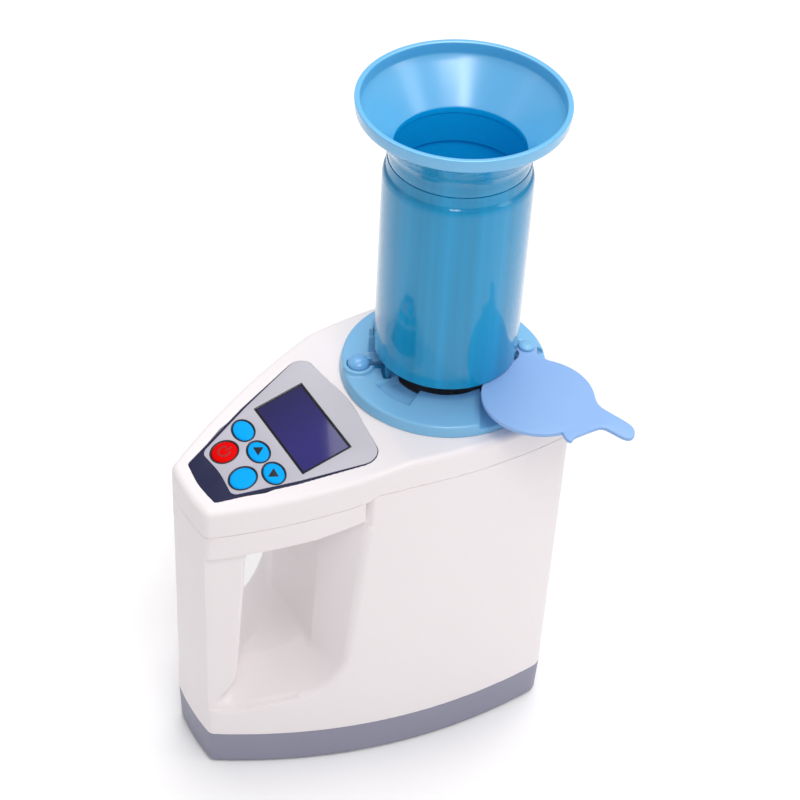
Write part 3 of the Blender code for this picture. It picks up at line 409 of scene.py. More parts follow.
def cover_field(x, y, z):
    w = plan(x, y) - DRAFT * z
    t = top(x, z)
    out = smax(w, t, 3.8)
    out = smax(out, -above_part(x, z) + 0.15, 0.4)
    cav = np.maximum(w + 2.6, t + 2.8)
    out = np.maximum(out, -cav)
    out = smax(out, 51.0 - np.hypot(x, y), 0.3)
    u, h = to_panel(x, z)
    u, v, h = np.broadcast_arrays(u, y, h)
    near = (np.abs(h) < 12) & (u < 60)
    if near.any():
        rec = np.full(u.shape, 30.0)
        win = np.full(u.shape, 30.0)
        rec[near] = poly_sdf(PANEL_OUT, u[near], v[near]) - 0.08
        win[near] = poly_sdf(WIN_OUT, u[near], v[near])
        out = smax(out, -np.maximum(rec, -1.5 - h), 0.45)
        out = np.maximum(out, -np.maximum(win, -9.0 - h))
    return out


def tray_field(x, y, z):
    taper = np.interp(z, [-5, 0.0, 1.2, 26.1], [1.5, 1.5, 0.9, 0.0])
    w = plan(x, y) - DRAFT * z + taper
    out = smax(w, np.maximum(-z, z - BASE_H), 0.6)
    cav = np.maximum(w + 2.6, 3.0 - z)
    for i in range(4):
        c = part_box("base_screw_%d" % (i + 1))
        px, py = (c[0].x + c[1].x) / 2 / MM, (c[0].y + c[1].y) / 2 / MM
        r = np.hypot(x - px, y - py)
        cav = smax(cav, -np.maximum(r - 6.2, z - 23), 2.2)
    out = np.maximum(out, -cav)
    for i in range(4):
        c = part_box("base_screw_%d" % (i + 1))
        px, py = (c[0].x + c[1].x) / 2 / MM, (c[0].y + c[1].y) / 2 / MM
        r = np.hypot(x - px, y - py)
        out = smax(out, -np.maximum(r - 3.9, z - 3.4), 0.3)
        out = np.maximum(out, -(r - 1.9))
        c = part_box("rubber_foot_%d" % (i + 1))
        px, py = (c[0].x + c[1].x) / 2 / MM, (c[0].y + c[1].y) / 2 / MM
        out = smax(out, -np.maximum(np.hypot(x - px, y - py) - 7.3, z - 1.1), 0.3)
    door = smax(np.abs(x + 95) - 33.4, np.abs(y) - 29.4, 2.5)
    return smax(out, -np.maximum(door, z - 5), 0.3)


# ---- ring ------------------------------------------------------------------------
TURN = math.radians(0.52)


def turn(x, y):
    return (x * math.cos(TURN) - y * math.sin(TURN), x * math.sin(TURN) + y * math.cos(TURN))


PIVOT = turn(40.8, -24.0)
GATE_C, GATE_R = turn(23.6, -64.0), 32.6
BUTTON = turn(-48.3, 17.0)
FLOOR_OUT = [turn(*q) for q in ((5.9, -30.4), (-15.4, -66.0), (75.0, -66.0), (66.0, -28.0), (57.4, -19.0), (54.0, -12.6), (50.0, -6.0), (45.0, -2.6), (38.0, -1.6), (24.0, -12.0))]


def sector(x, y, r0, r1, a0, a1):
    r = np.hypot(x, y)
    am, ah = math.radians((a0 + a1) / 2) + TURN, math.radians((a1 - a0) / 2)
    a = np.arctan2(y, x) - am
    a = (a + math.pi) % (2 * math.pi) - math.pi
    rr = np.minimum(r, 60)
    return np.maximum(np.maximum(r0 - r, r - r1), (np.abs(a) - ah) * rr)


def ring_field(x, y, z):
    r = np.hypot(x, y)
    out = smax(r - (61.5 - 0.22 * (z - 244.2)), z - 250.8 + 0.012 * np.maximum(r - 50, 0), 1.3)
    out = smax(out, 244.2 - z, 0.3)
    skirt = np.maximum(np.maximum(r - 34.1, 237.4 - z), z - 246)
    skirt2 = np.maximum(np.maximum(r - 50.4, 238 - z), np.maximum(48.0 - r, z - 246))
    out = np.minimum(out, np.minimum(skirt, skirt2))
    out = np.where((z < 245) & (r > 34.1) & (r < 48), np.maximum(out, 245 - z), out)
    out = smax(out, 31.7 - r, 0.9)
    col = smax(sector(x, y, 37.2, 45.0, 2, 146), z - 263.1, 0.5)
    lip = smax(sector(x, y, 42.5, 45.0, 4, 144), z - 268.0, 0.8)
    out = np.where(z > 246, smin(out, np.minimum(col, lip), 1.5), out)
    fl = poly_sdf(FLOOR_OUT, x, y)
    out = smax(out, -smax(fl, 247.4 - z, 1.2) + np.where(z > 254, 50, 0), 0.9)
    px, py = PIVOT
    rp = np.hypot(x - px, y - py)
    boss = np.maximum(smax(rp - 6.6, z - 259.9, 0.9), 244.5 - z)
    out = np.where(z > 245, smin(out, boss, 1.5), out)
    out = np.maximum(out, 1.75 - rp)
    no = sector(x, y, 30.0, 46.8, -178, -146)
    # chamfered ends and a sloping outer flank
    out = smax(out, -smax(no + np.maximum(250.8 - z, 0) * 0.45, 247.3 - z, 0.7), 0.7)
    # raised rib on the notch's upper edge
    bx, by = BUTTON
    rb = np.hypot(x - bx, y - by)
    soc = np.maximum(smax(rb - 9.3, z - 253.2, 0.9), 246 - z)
    out = np.where(z > 246, smin(out, soc, 1.4), out)
    out = smax(out, 7.0 - rb, 0.5)
    a = math.atan2(by, bx)
    ru, rv = x * math.cos(a) + y * math.sin(a), -x * math.sin(a) + y * math.cos(a)
    out = smax(out, -np.maximum(np.maximum(34.0 - ru, ru - 50.9), np.abs(rv) - 3.1), 0.4)
    out = smax(out, -np.maximum(np.maximum(np.maximum(33.9 - ru, ru - 38.6), np.abs(rv - 4.9) - 7.9), 242 - z), 0.4)
    return out


# ------------------------------------------------------------------ dual contouring
def contour(name, field, lo, hi, h, mat, angle=32.0):
    n = [int(math.ceil((hi[k] - lo[k]) / h)) + 1 for k in range(3)]
    ax = [lo[k] + h * np.arange(n[k]) for k in range(3)]
    F = np.array(np.broadcast_to(field(ax[0][:, None, None], ax[1][None, :, None], ax[2][None, None, :]), n), dtype=float)
    F[F == 0] = 1e-9
    S = F < 0
    NC = [m - 1 for m in n]
    cell_ids, cell_p, cell_n, quads_src, flips = [], [], [], [], []
    for d in range(3):
        s0, s1 = [slice(None)] * 3, [slice(None)] * 3
        s0[d], s1[d] = slice(0, -1), slice(1, None)
        cr = S[tuple(s0)] != S[tuple(s1)]
        e1, e2 = (d + 1) % 3, (d + 2) % 3
        idx = np.array(np.nonzero(cr))
        ok = (idx[e1] > 0) & (idx[e2] > 0) & (idx[e1] < n[e1] - 1) & (idx[e2] < n[e2] - 1)
        idx = idx[:, ok]
        j = idx.copy()
        j[d] += 1
        fa, fb = F[tuple(idx)].copy(), F[tuple(j)].copy()
        inside = fa < 0
        P0 = np.stack([ax[k][idx[k]] for k in range(3)], 1)
        ta, tb = np.zeros(len(fa)), np.ones(len(fa))
        P = P0.copy()
        for it in range(5):
            t = ta + (tb - ta) * np.clip(fa / (fa - fb), 0.08, 0.92)
            P[:, d] = P0[:, d] + h * t
            f = field(P[:, 0], P[:, 1], P[:, 2])
            same = (f < 0) == inside
            ta, fa = np.where(same, t, ta), np.where(same, f, fa)
            tb, fb = np.where(same, tb, t), np.where(same, fb, f)
        t = ta + (tb - ta) * np.clip(fa / (fa - fb + 1e-12), 0, 1)
        P[:, d] = P0[:, d] + h * t
        e = 0.02
        N = np.zeros_like(P)
        for k in range(3):
            A, B = P.copy(), P.copy()
            A[:, k] += e
            B[:, k] -= e
            N[:, k] = field(A[:, 0], A[:, 1], A[:, 2]) - field(B[:, 0], B[:, 1], B[:, 2])
        N /= np.maximum(np.linalg.norm(N, axis=1), 1e-12)[:, None]
        q = []
        for o1, o2 in ((1, 1), (0, 1), (0, 0), (1, 0)):
            c = idx.copy()
            c[e1] -= o1
            c[e2] -= o2
            cid = (c[0] * NC[1] + c[1]) * NC[2] + c[2]
            q.append(cid)
            cell_ids.append(cid)
            cell_p.append(P)
            cell_n.append(N)
        quads_src.append(np.stack(q, 1))
        flips.append(~inside)
    ids = np.concatenate(cell_ids)
    P, N = np.concatenate(cell_p), np.concatenate(cell_n)
    uniq, inv = np.unique(ids, return_inverse=True)
    m = len(uniq)
    cnt = np.bincount(inv, minlength=m)
    mean = np.stack([np.bincount(inv, P[:, k], m) / cnt for k in range(3)], 1)
    rel = P - mean[inv]
    dn = (rel * N).sum(1)
    A = np.zeros((m, 3, 3))
    b = np.zeros((m, 3))
    for r_ in range(3):
        b[:, r_] = np.bincount(inv, N[:, r_] * dn, m)
        for c_ in range(3):
            A[:, r_, c_] = np.bincount(inv, N[:, r_] * N[:, c_], m)
    A += np.eye(3) * 0.04
    X = mean + np.linalg.solve(A, b[:, :, None])[:, :, 0]
    cz = uniq % NC[2]
    cy = (uniq // NC[2]) % NC[1]
    cx = uniq // (NC[1] * NC[2])
    for k, c in enumerate((cx, cy, cz)):
        base = ax[k][c]
        X[:, k] = np.clip(X[:, k], base + 0.02 * h, base + 0.98 * h)
    pos = np.searchsorted(uniq, np.concatenate(quads_src))
    fl = np.concatenate(flips)
    pos[fl] = pos[fl][:, ::-1]
    X[:, 2] += Z0
    X *= MM
    me = bpy.data.meshes.new(name)
    me.vertices.add(m)
    me.vertices.foreach_set("co", X.astype(np.float32).ravel())
    nq = len(pos)
    me.loops.add(nq * 4)
    me.loops.foreach_set("vertex_index", pos.astype(np.int32).ravel())
    me.polygons.add(nq)
    me.polygons.foreach_set("loop_start", (np.arange(nq) * 4).astype(np.int32))
    me.update(calc_edges=True)
    me.validate()
    ob = bpy.data.objects.new(name, me)
    bpy.context.scene.collection.objects.link(ob)
    me.materials.append(mat)
    me.shade_smooth()
    me.set_sharp_from_angle(angle=math.radians(angle))
    return ob


# ------------------------------------------------------------------ helpers for the other pieces
PF = Matrix.Translation(Vector((PANEL_X * MM, 0, (PANEL_Z + Z0) * MM))) @ Matrix.Rotation(-math.atan(SLOPE), 4, "Y")


def put(ob, mat, body, node, angle=30.0, extra=()):
    me = ob.data
    me.materials.clear()
    me.materials.append(mat)
    for m in extra:
        me.materials.append(m)
    me.shade_smooth()
    me.set_sharp_from_angle(angle=math.radians(angle))
    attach(ob, body)
    if node:
        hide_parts(*([node] if isinstance(node, str) else node))
    return ob


def from_bm(name, bm):
    bmesh.ops.recalc_face_normals(bm, faces=bm.faces[:])
    me = bpy.data.meshes.new(name)
    bm.to_mesh(me)
    bm.free()
    ob = bpy.data.objects.new(name, me)
    bpy.context.scene.collection.objects.link(ob)
    return ob


def soften(profile, n=4):
    """Profile points (r, z) or (r, z, radius): a radius rounds that corner."""
    out = []
    m = len(profile)
    for i, p in enumerate(profile):
        if len(p) < 3 or p[2] <= 0:
            out.append((p[0], p[1]))
            continue
        a, b, c = Vector(profile[i - 1][:2]), Vector(p[:2]), Vector(profile[(i + 1) % m][:2])
        u, v = (a - b), (c - b)
        r = min(p[2], u.length * 0.49, v.length * 0.49)
        u.normalize()
        v.normalize()
        p1, p2 = b + u * r, b + v * r
        for k in range(n + 1):
            t = k / n
            q = (1 - t) ** 2 * p1 + 2 * t * (1 - t) * b + t * t * p2
            out.append((q.x, q.y))
    return out


def turned(name, profile, steps=128, cx=0.0, cy=0.0, frame=None, sx=1.0, sy=1.0):
    """Closed profile turned about Z; points with r = 0 close on the axis."""
    pts = soften(profile)
    bm = bmesh.new()
    rings = []
    for r, z in pts:
        if r < 1e-6:
            rings.append([bm.verts.new((cx, cy, z))])
        else:
            rings.append([bm.verts.new((cx + sx * r * math.cos(2 * math.pi * k / steps), cy + sy * r * math.sin(2 * math.pi * k / steps), z)) for k in range(steps)])
    m = len(rings)
    for i in range(m):
        a, b = rings[i], rings[(i + 1) % m]
        if len(a) == 1 and len(b) == 1:
            continue
        for k in range(steps):
            k2 = (k + 1) % steps
            if len(a) == 1:
                bm.faces.new((a[0], b[k], b[k2]))
            elif len(b) == 1:
                bm.faces.new((a[k], b[0], a[k2]))
            else:
                bm.faces.new((a[k], b[k], b[k2], a[k2]))
    place(bm, frame)
    return from_bm(name, bm)


def place(bm, frame=None):
    M = Matrix.Scale(MM, 4)
    if frame is None:
        M = Matrix.Translation(Vector((0, 0, Z0 * MM))) @ M
    else:
        M = frame @ M
    bmesh.ops.transform(bm, matrix=M, verts=bm.verts[:])


def inset_loop(lp, d):
    """Move a closed loop (anticlockwise) inwards by d."""
    P = np.asarray(lp, float)
    a, b = np.roll(P, 1, 0), np.roll(P, -1, 0)
    t = b - a
    t /= np.maximum(np.linalg.norm(t, axis=1), 1e-9)[:, None]
    nrm = np.stack([-t[:, 1], t[:, 0]], 1)
    return P + nrm * d


def plate(name, outer, holes, z0, z1, bevel=0.15, frame=None, seg=3):
    """Flat plate from an outline and holes, with rounded edges."""
    cu = bpy.data.curves.new(name, "CURVE")
    cu.dimensions = "2D"
    cu.fill_mode = "BOTH"
    cu.extrude = max((z1 - z0) / 2 - bevel, 0.0)
    cu.bevel_depth = bevel
    cu.bevel_resolution = seg
    for k, lp in enumerate([outer] + list(holes)):
        lp = inset_loop(lp, bevel if k == 0 else -bevel)
        sp = cu.splines.new("POLY")
        sp.points.add(len(lp) - 1)
        for p, q in zip(sp.points, lp):
            p.co = (q[0], q[1], 0, 1)
        sp.use_cyclic_u = True
    tmp = bpy.data.objects.new(name + "_c", cu)
    bpy.context.scene.collection.objects.link(tmp)
    dg = bpy.context.evaluated_depsgraph_get()
    me = bpy.data.meshes.new_from_object(tmp.evaluated_get(dg), depsgraph=dg)
    bpy.data.objects.remove(tmp, do_unlink=True)
    bm = bmesh.new()
    bm.from_mesh(me)
    bmesh.ops.remove_doubles(bm, verts=bm.verts[:], dist=1e-3)
    bmesh.ops.translate(bm, verts=bm.verts[:], vec=(0, 0, (z0 + z1) / 2))
    place(bm, frame)
    return from_bm(name, bm)


def ell(cu_, cv, a, b, n=72):
    return [(cu_ + a * math.cos(2 * math.pi * i / n), cv + b * math.sin(2 * math.pi * i / n)) for i in range(n)]


def rrect(u0, u1, v0, v1, r=0.0):
    p = [(u0, v0), (u1, v0), (u1, v1), (u0, v1)]
    return rounded(p, [r] * 4, 5) if r > 0 else p


def slab(name, u0, u1, v0, v1, z0, z1, bevel=0.3, frame=None, seg=3):
    bm = bmesh.new()
    bmesh.ops.create_cube(bm, size=1.0)
    for v in bm.verts:
        v.co = Vector(((u0 + u1) / 2 + v.co.x * (u1 - u0), (v0 + v1) / 2 + v.co.y * (v1 - v0), (z0 + z1) / 2 + v.co.z * (z1 - z0)))
    if bevel:
        bmesh.ops.bevel(bm, geom=bm.edges[:], offset=bevel, segments=seg, profile=0.5, affect="EDGES")
    place(bm, frame)
    return from_bm(name, bm)


def joined(name, obs):
    """Join piece meshes, keeping each one's material."""
    bm = bmesh.new()
    mats = []
    for o in obs:
        base = len(bm.faces)
        bm.from_mesh(o.data)
        bm.faces.ensure_lookup_table()
        idx = []
        for m in o.data.materials:
            if m not in mats:
                mats.append(m)
            idx.append(mats.index(m))
        for f in bm.faces[base:]:
            f.material_index = idx[f.material_index] if idx else 0
        bpy.data.objects.remove(o, do_unlink=True)
    me = bpy.data.meshes.new(name)
    bm.to_mesh(me)
    bm.free()
    for m in mats:
        me.materials.append(m)
    ob = bpy.data.objects.new(name, me)
    bpy.context.scene.collection.objects.link(ob)
    return ob


def done(ob, body, nodes, angle=30.0):
    """Declare a joined piece that already has its materials."""
    ob.data.shade_smooth()
    ob.data.set_sharp_from_angle(angle=math.radians(angle))
    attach(ob, body)
    nodes = [nodes] if isinstance(nodes, str) else nodes
    if nodes:
        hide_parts(*nodes)
    return ob


def mat_only(ob, mat):
    ob.data.materials.clear()
    ob.data.materials.append(mat)
    return ob


# ------------------------------------------------------------------ body shell
def shell(name, field, lo, hi, h, mat, body, node, angle=32.0):
    ob = contour(name, field, lo, hi, h, mat, angle)
    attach(ob, body)
    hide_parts(node)
    return ob


shell("housing_shell", housing_field, (-172, -74, 22), (70, 74, 229), 1.15, M_WHITE, "housing", "lower_housing", 34)
shell("cover_shell", cover_field, (-172, -74, 192), (70, 74, 247), 1.0, M_WHITE, "housing", "top_cover", 34)
shell("tray_shell", tray_field, (-172, -74, -3), (70, 74, 29), 1.3, M_GREY, "housing", "base_tray", 34)
shell("ring_shell", ring_field, (-64, -64, 234), (64, 64, 271), 0.62, M_RING, "housing", "gate_ring", 34)

# ------------------------------------------------------------------ key panel
LCD_U, LCD_V, LCD_C = 30.9, 60.6, -0.6
UPV, SIDEV = (0.361, 0.683), (0.486, -0.369)
KEYS = {"key_menu": (-13.3, 19.5, 5.6, 8.4), "key_down": (-13.5, -0.6, 5.6, 8.4), "key_up": (-13.7, -20.5, 5.6, 8.4),
        "key_power": (-29.6, 12.0, 7.7, 7.8), "key_enter": (-29.8, -12.4, 7.7, 7.8)}
key_holes = [ell(u, v, a + 0.35, b + 0.35) for u, v, a, b in KEYS.values()]
win = rrect(-0.2, LCD_U + 0.2, LCD_C - LCD_V / 2 - 0.2, LCD_C + LCD_V / 2 + 0.2)
put(plate("panel_film_back", PANEL_OUT, [win] + key_holes, -1.2, 0.0, 0.25, PF), M_NAVY, "housing", "panel_bezel")
face = mat_only(plate("pf", PLATE_OUT, [win] + key_holes, 0.05, 0.42, 0.1, PF), M_SILVER)
rims = []
for u, v, a, b in KEYS.values():
    o = plate("kr", ell(u, v, a + 1.15, b + 1.15), [ell(u, v, a + 0.3, b + 0.3)], 0.36, 0.62, 0.1, PF)
    rims.append(mat_only(o, M_INK))
o = plate("wf", rrect(-0.8, LCD_U + 0.8, LCD_C - LCD_V / 2 - 0.8, LCD_C + LCD_V / 2 + 0.8, 0.5), [win], 0.38, 0.56, 0.06, PF)
rims.append(mat_only(o, M_INK))
done(joined("panel_face", [face] + rims), "housing", "panel_plate")
# display: black mask round the active area, glass above it
glass = mat_only(slab("lg", 0.1, LCD_U - 0.1, LCD_C - LCD_V / 2 + 0.1, LCD_C + LCD_V / 2 - 0.1, -2.6, 0.18, 0.12, PF), M_GLASS)
mask_ = mat_only(plate("lm", rrect(0.1, LCD_U - 0.1, LCD_C - LCD_V / 2 + 0.1, LCD_C + LCD_V / 2 - 0.1),
                       [rrect(0.8, LCD_U - 0.8, LCD_C - LCD_V / 2 + 0.8, LCD_C + LCD_V / 2 - 0.8, 0.3)], 0.14, 0.24, 0.03, PF), M_MASK)
done(joined("display_window", [glass, mask_]), "housing", "lcd_window")

for nm, (u, v, a, b) in KEYS.items():
    rm = (a + b) / 2
    prof = [(0, 1.12), (rm * 0.55, 1.06), (rm * 0.86, 0.86, 0.8), (rm, 0.35, 0.5), (rm, -2.4), (2.5, -2.4), (2.4, -8.5), (0, -8.5)]
    cap = mat_only(turned("kc", prof, 72, u, v, PF, a / rm, b / rm), M_KEYRED if nm == "key_power" else M_KEYBLUE)
    marks = []
    if nm == "key_power":
        def arc(r, a0, a1, n=28):
            return [(u + r * math.cos(math.radians(a0 + (a1 - a0) * i / n)), v + r * math.sin(math.radians(a0 + (a1 - a0) * i / n))) for i in range(n + 1)]
        marks.append(plate("ks", arc(4.1, 35, 325) + arc(2.9, 325, 35), [], 0.9, 1.14, 0.05, PF))
        marks.append(plate("ks", rrect(u + 0.8, u + 5.0, v - 0.55, v + 0.55, 0.3), [], 0.9, 1.16, 0.05, PF))
        marks = [mat_only(q, M_REDMARK) for q in marks]
    elif nm in ("key_down", "key_up"):
        # solid triangle; UPV and SIDEV are the panel directions that read as upright and level from the front
        k = 1 if nm == "key_up" else -1
        tri = [(u + k * (4.5 * UPV[0]), v + k * (4.5 * UPV[1]))]
        tri += [(u + k * (-3.8 * UPV[0] + g * 5.3 * SIDEV[0]), v + k * (-3.8 * UPV[1] + g * 5.3 * SIDEV[1])) for g in (-1, 1)]
        area2 = sum(tri[i - 1][0] * tri[i][1] - tri[i][0] * tri[i - 1][1] for i in range(3))
        tri = tri if area2 > 0 else tri[::-1]
        marks = [mat_only(plate("ks", rounded(tri, [0.35] * 3, 4), [], 0.9, 1.17, 0.05, PF), M_INK)]
    done(joined(nm + "_cap", [cap] + marks), nm.split("_")[1] + "_key", nm)

# ------------------------------------------------------------------ ring furniture
bx_, by_ = BUTTON
ANG_B = math.atan2(by_, bx_)
put(turned("button_dome", [(0, 257.2), (2.4, 257.05), (4.5, 256.4), (5.9, 255.3, 0.8), (6.5, 253.6, 0.8), (6.5, 249.2), (0, 249.2)], 96, bx_, by_), M_BUTTON, "release", "release_button")
BA = Matrix.Translation(Vector((bx_ * MM, by_ * MM, Z0 * MM))) @ Matrix.Rotation(ANG_B, 4, "Z")
lat = [slab("l", -16.7, -1.0, -2.6, 2.6, 245.6, 248.9, 0.4, BA), slab("l", -16.7, -13.2, -1.0, 12.2, 245.7, 248.8, 0.4, BA),
       slab("l", -16.7, -14.0, 8.0, 12.2, 246.2, 260.0, 0.5, BA)]
done(joined("latch_arm", [mat_only(o, M_LATCH) for o in lat]), "release", "gate_latch")


def arc_pts(c, r, a0, a1, n):
    return [(c[0] + r * math.cos(math.radians(a0 + (a1 - a0) * i / n)), c[1] + r * math.sin(math.radians(a0 + (a1 - a0) * i / n))) for i in range(n + 1)]


def blend_pts(pts, times=2):
    """Chaikin corner cutting on an open run of points."""
    for _ in range(times):
        out = [pts[0]]
        for a, b in zip(pts[:-1], pts[1:]):
            out += [(a[0] * 0.75 + b[0] * 0.25, a[1] * 0.75 + b[1] * 0.25), (a[0] * 0.25 + b[0] * 0.75, a[1] * 0.25 + b[1] * 0.75)]
        pts = out + [pts[-1]]
    return pts


DEG = math.degrees(TURN)
hub = arc_pts(PIVOT, 6.4, -58, 193, 48)
disc1 = arc_pts(GATE_C, GATE_R, 86 + DEG, 262 + DEG, 120)
disc2 = arc_pts(GATE_C, GATE_R, -27 + DEG, 46 + DEG, 52)
neck1 = blend_pts([hub[-1], turn(33.6, -27.6), turn(30.2, -30.6), disc1[0]], 2)[1:-1]
tail = blend_pts([disc1[-1]] + [turn(*q) for q in ((18.2, -100.4), (18.3, -103.4), (20.2, -104.9), (22.5, -102.6), (28.0, -102.3), (38.5, -102.1), (42.2, -103.0),
                  (44.6, -108.6), (47.3, -115.6), (50.2, -118.2), (54.0, -117.2), (56.9, -113.0), (57.3, -108.0), (53.2, -96.4), (50.6, -89.0), (50.6, -84.2))] + [disc2[0]], 3)[1:-1]
neck2 = blend_pts([disc2[-1], turn(44.6, -37.2), turn(43.4, -33.4), hub[0]], 2)[1:-1]
gate = plate("swing_gate", hub + neck1 + disc1 + tail + disc2 + neck2, [arc_pts(PIVOT, 1.8, 0, 348.75, 31)], 260.3, 262.9, 0.55, None, 4)
put(gate, M_GATE, "gate", "gate_plate", 40)
put(turned("pivot_screw", [(0, 265.6), (2.6, 265.4, 0.6), (4.4, 264.7, 0.6), (4.9, 264.0, 0.4), (4.9, 263.2), (1.5, 263.2), (1.5, 244.6), (0, 244.6)], 64, *PIVOT), M_RING, "housing", "gate_pivot_screw")

# return spring under the latch: closed end turns, open middle turns
def coil_mesh(name, cx, cy, r, wire, z0, z1, turns, per=28, sides=10):
    """Round wire wound on a vertical axis, closed at both ends."""
    path = []
    m = int(turns * per)
    for i in range(m + 1):
        t = i / m
        a = 2 * math.pi * i / per
        rise = 0.5 - 0.5 * math.cos(math.pi * t)
        path.append(Vector((cx + r * math.cos(a), cy + r * math.sin(a), z0 + (z1 - z0) * (0.35 * rise + 0.65 * t))))
    bm = bmesh.new()
    rings = []
    for i, p in enumerate(path):
        tan = (path[min(i + 1, m)] - path[max(i - 1, 0)]).normalized()
        rad = (Vector((p.x - cx, p.y - cy, 0))).normalized()
        side_ = tan.cross(rad).normalized()
        rings.append([bm.verts.new(p + wire * (math.cos(2 * math.pi * k / sides) * rad + math.sin(2 * math.pi * k / sides) * side_)) for k in range(sides)])
    for a, b in zip(rings[:-1], rings[1:]):
        for k in range(sides):
            bm.faces.new((a[k], a[(k + 1) % sides], b[(k + 1) % sides], b[k]))
    bm.faces.new(rings[0][::-1])
    bm.faces.new(rings[-1])
    place(bm)
    return from_bm(name, bm)


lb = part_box("latch_spring")
sx_, sy_ = (lb[0].x + lb[1].x) / 2, (lb[0].y + lb[1].y) / 2
spr = coil_mesh("latch_coil", sx_ / MM, sy_ / MM, 3.2, 0.4, 228.8, 244.8, 5)
put(spr, M_STEEL, "housing", "latch_spring", 40)
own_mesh(spr)

# ------------------------------------------------------------------ drop cylinder and funnel
cyl = turned("cylinder_tube", [(42.0, 263.4, 0.6), (42.0, 384.4, 1.2), (41.3, 387.6, 1.0), (40.1, 389.0, 0.6), (39.9, 389.6), (39.9, 395.8, 0.3), (38.7, 395.8, 0.3), (38.7, 276.0, 2.0),
                               (28.0, 265.8, 0.8), (28.0, 263.4, 0.3)], 224)
put(cyl, M_CYL, "tube", "drop_cylinder", 32, (M_THROAT_PAINTED_LIGHT,))
# the bore gets a less polished material whose lighter blue is painted light
for p in cyl.data.polygons:
    c, n = p.center, p.normal
    if (c.x * c.x + c.y * c.y) ** 0.5 < 38.9 * MM and n.x * c.x + n.y * c.y < 0:
        p.material_index = 1
fun = turned("funnel_shell", [(58.7, 433.0, 1.1), (58.7, 431.9), (58.1, 425.6, 1.4), (56.4, 424.4, 1.0), (41.8, 408.6, 3.2), (40.0, 403.6, 1.6), (39.6, 396.1, 0.3), (38.3, 396.1), (38.3, 380.0, 0.3),
                              (37.1, 380.0, 0.3), (37.1, 398.6, 0.4), (36.6, 399.2, 0.3), (36.6, 402.8, 0.9), (53.8, 423.4, 1.6), (55.5, 426.0, 0.8), (55.6, 433.0, 0.9)], 224)
put(fun, M_FUNNEL_PAINTED_LIGHT, "loading_funnel", "funnel", 32, (M_CYL, M_THROAT_PAINTED_LIGHT))
# the neck and the outside of the cone take the cylinder's glossier material, whose darker blue is painted shade; the
# inner neck takes the lighter throat blue and the rest the lighter funnel blue, both painted light
for p in fun.data.polygons:
    c, n = p.center, p.normal
    if c.z < (424.2 + Z0) * MM and n.x * c.x + n.y * c.y > 0:
        p.material_index = 1
    # painted light: the funnel's inner neck takes the lighter throat blue
    elif c.z < (402.9 + Z0) * MM:
        p.material_index = 2

# ------------------------------------------------------------------ weighing cup, feet, screws, cells
put(turned("cup_wall", [(35.2, 236.0, 0.6), (35.2, 131.3, 0.8), (0, 131.3), (0, 133.7), (33.2, 133.7, 2.0), (33.2, 236.0, 0.6)], 128), M_ALU, "housing", "measuring_cup")
put(turned("electrode_post", [(0, 212.0), (4.5, 211.2, 1.5), (7.4, 207.6, 2.0), (8.5, 201.0, 1.0), (8.5, 134.1, 0.5), (0, 134.1)], 72), M_ALU, "housing", "centre_electrode")
for i in range(4):
    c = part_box("rubber_foot_%d" % (i + 1))
    fx, fy = (c[0].x + c[1].x) / 2 / MM, (c[0].y + c[1].y) / 2 / MM
    put(turned("foot_%d" % (i + 1), [(0, -1.6), (3.4, -1.6, 0.3), (3.8, -2.0, 0.2), (6.2, -2.0, 0.5), (7.0, -1.2, 0.4), (7.0, 0.8), (0, 0.8)], 64, fx, fy), M_RUBBER, "housing", "rubber_foot_%d" % (i + 1))
    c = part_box("base_screw_%d" % (i + 1))
    fx, fy = (c[0].x + c[1].x) / 2 / MM, (c[0].y + c[1].y) / 2 / MM
    prof = [(0, 1.7), (1.3, 1.3), (1.7, 0.8, 0.1), (3.2, 0.8, 0.3), (3.5, 1.2, 0.2), (3.5, 3.0), (1.45, 3.0)]
    z = 8.0
    while z < 38.5:
        prof += [(1.45, z), (1.2, z + 0.35), (1.2, z + 0.6), (1.45, z + 0.95)]
        z += 1.3
    prof += [(1.2, 39.6), (0, 41.0)]
    put(turned("closing_screw_%d" % (i + 1), prof, 40, fx, fy), M_STEEL, "housing", "base_screw_%d" % (i + 1), 25)
    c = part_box("battery_cell_%d" % (i + 1))
    fx = (c[0].x + c[1].x) / 2 / MM
    fr = Matrix.Translation(Vector((fx * MM, 0, (13.0 + Z0) * MM))) @ Matrix.Rotation(math.pi / 2, 4, "X")
    prof = [(0, -24.6), (5.6, -24.6), (6.2, -25.1, 0.3), (7.1, -25.2, 0.4), (7.1, 24.4, 0.5), (6.5, 24.6, 0.2), (2.8, 24.2), (2.7, 25.2, 0.4), (0, 25.2)]
    put(turned("aa_cell_%d" % (i + 1), prof, 48, 0, 0, fr), M_CELL, "housing", "battery_cell_%d" % (i + 1))
door = plate("hatch", rrect(-127.9, -62.1, -28.9, 28.9, 2.0), [], 0.2, 2.4, 0.35)
grip = [slab("g", -92.0, -70.0 + 0.0, -0.9 + k * 4.0, 0.9 + k * 4.0, -0.15, 0.4, 0.25) for k in range(-2, 3)]
done(joined("hatch_door", [mat_only(o, M_GREY) for o in [door] + grip]), "battery_hatch", "battery_door")

# ------------------------------------------------------------------ stage, light, camera
AZ, EL, ROLL, DIST = math.radians(-31.559), math.radians(41.260), math.radians(3.456), 1.3697
TARGET = Vector((0.002203, 0.050372, 0.1780 + Z0 * MM))
back = Vector((math.sin(AZ) * math.cos(EL), -math.cos(AZ) * math.cos(EL), math.sin(EL)))
fwd = -back
right = fwd.cross(Vector((0, 0, 1))).normalized()
up = right.cross(fwd)

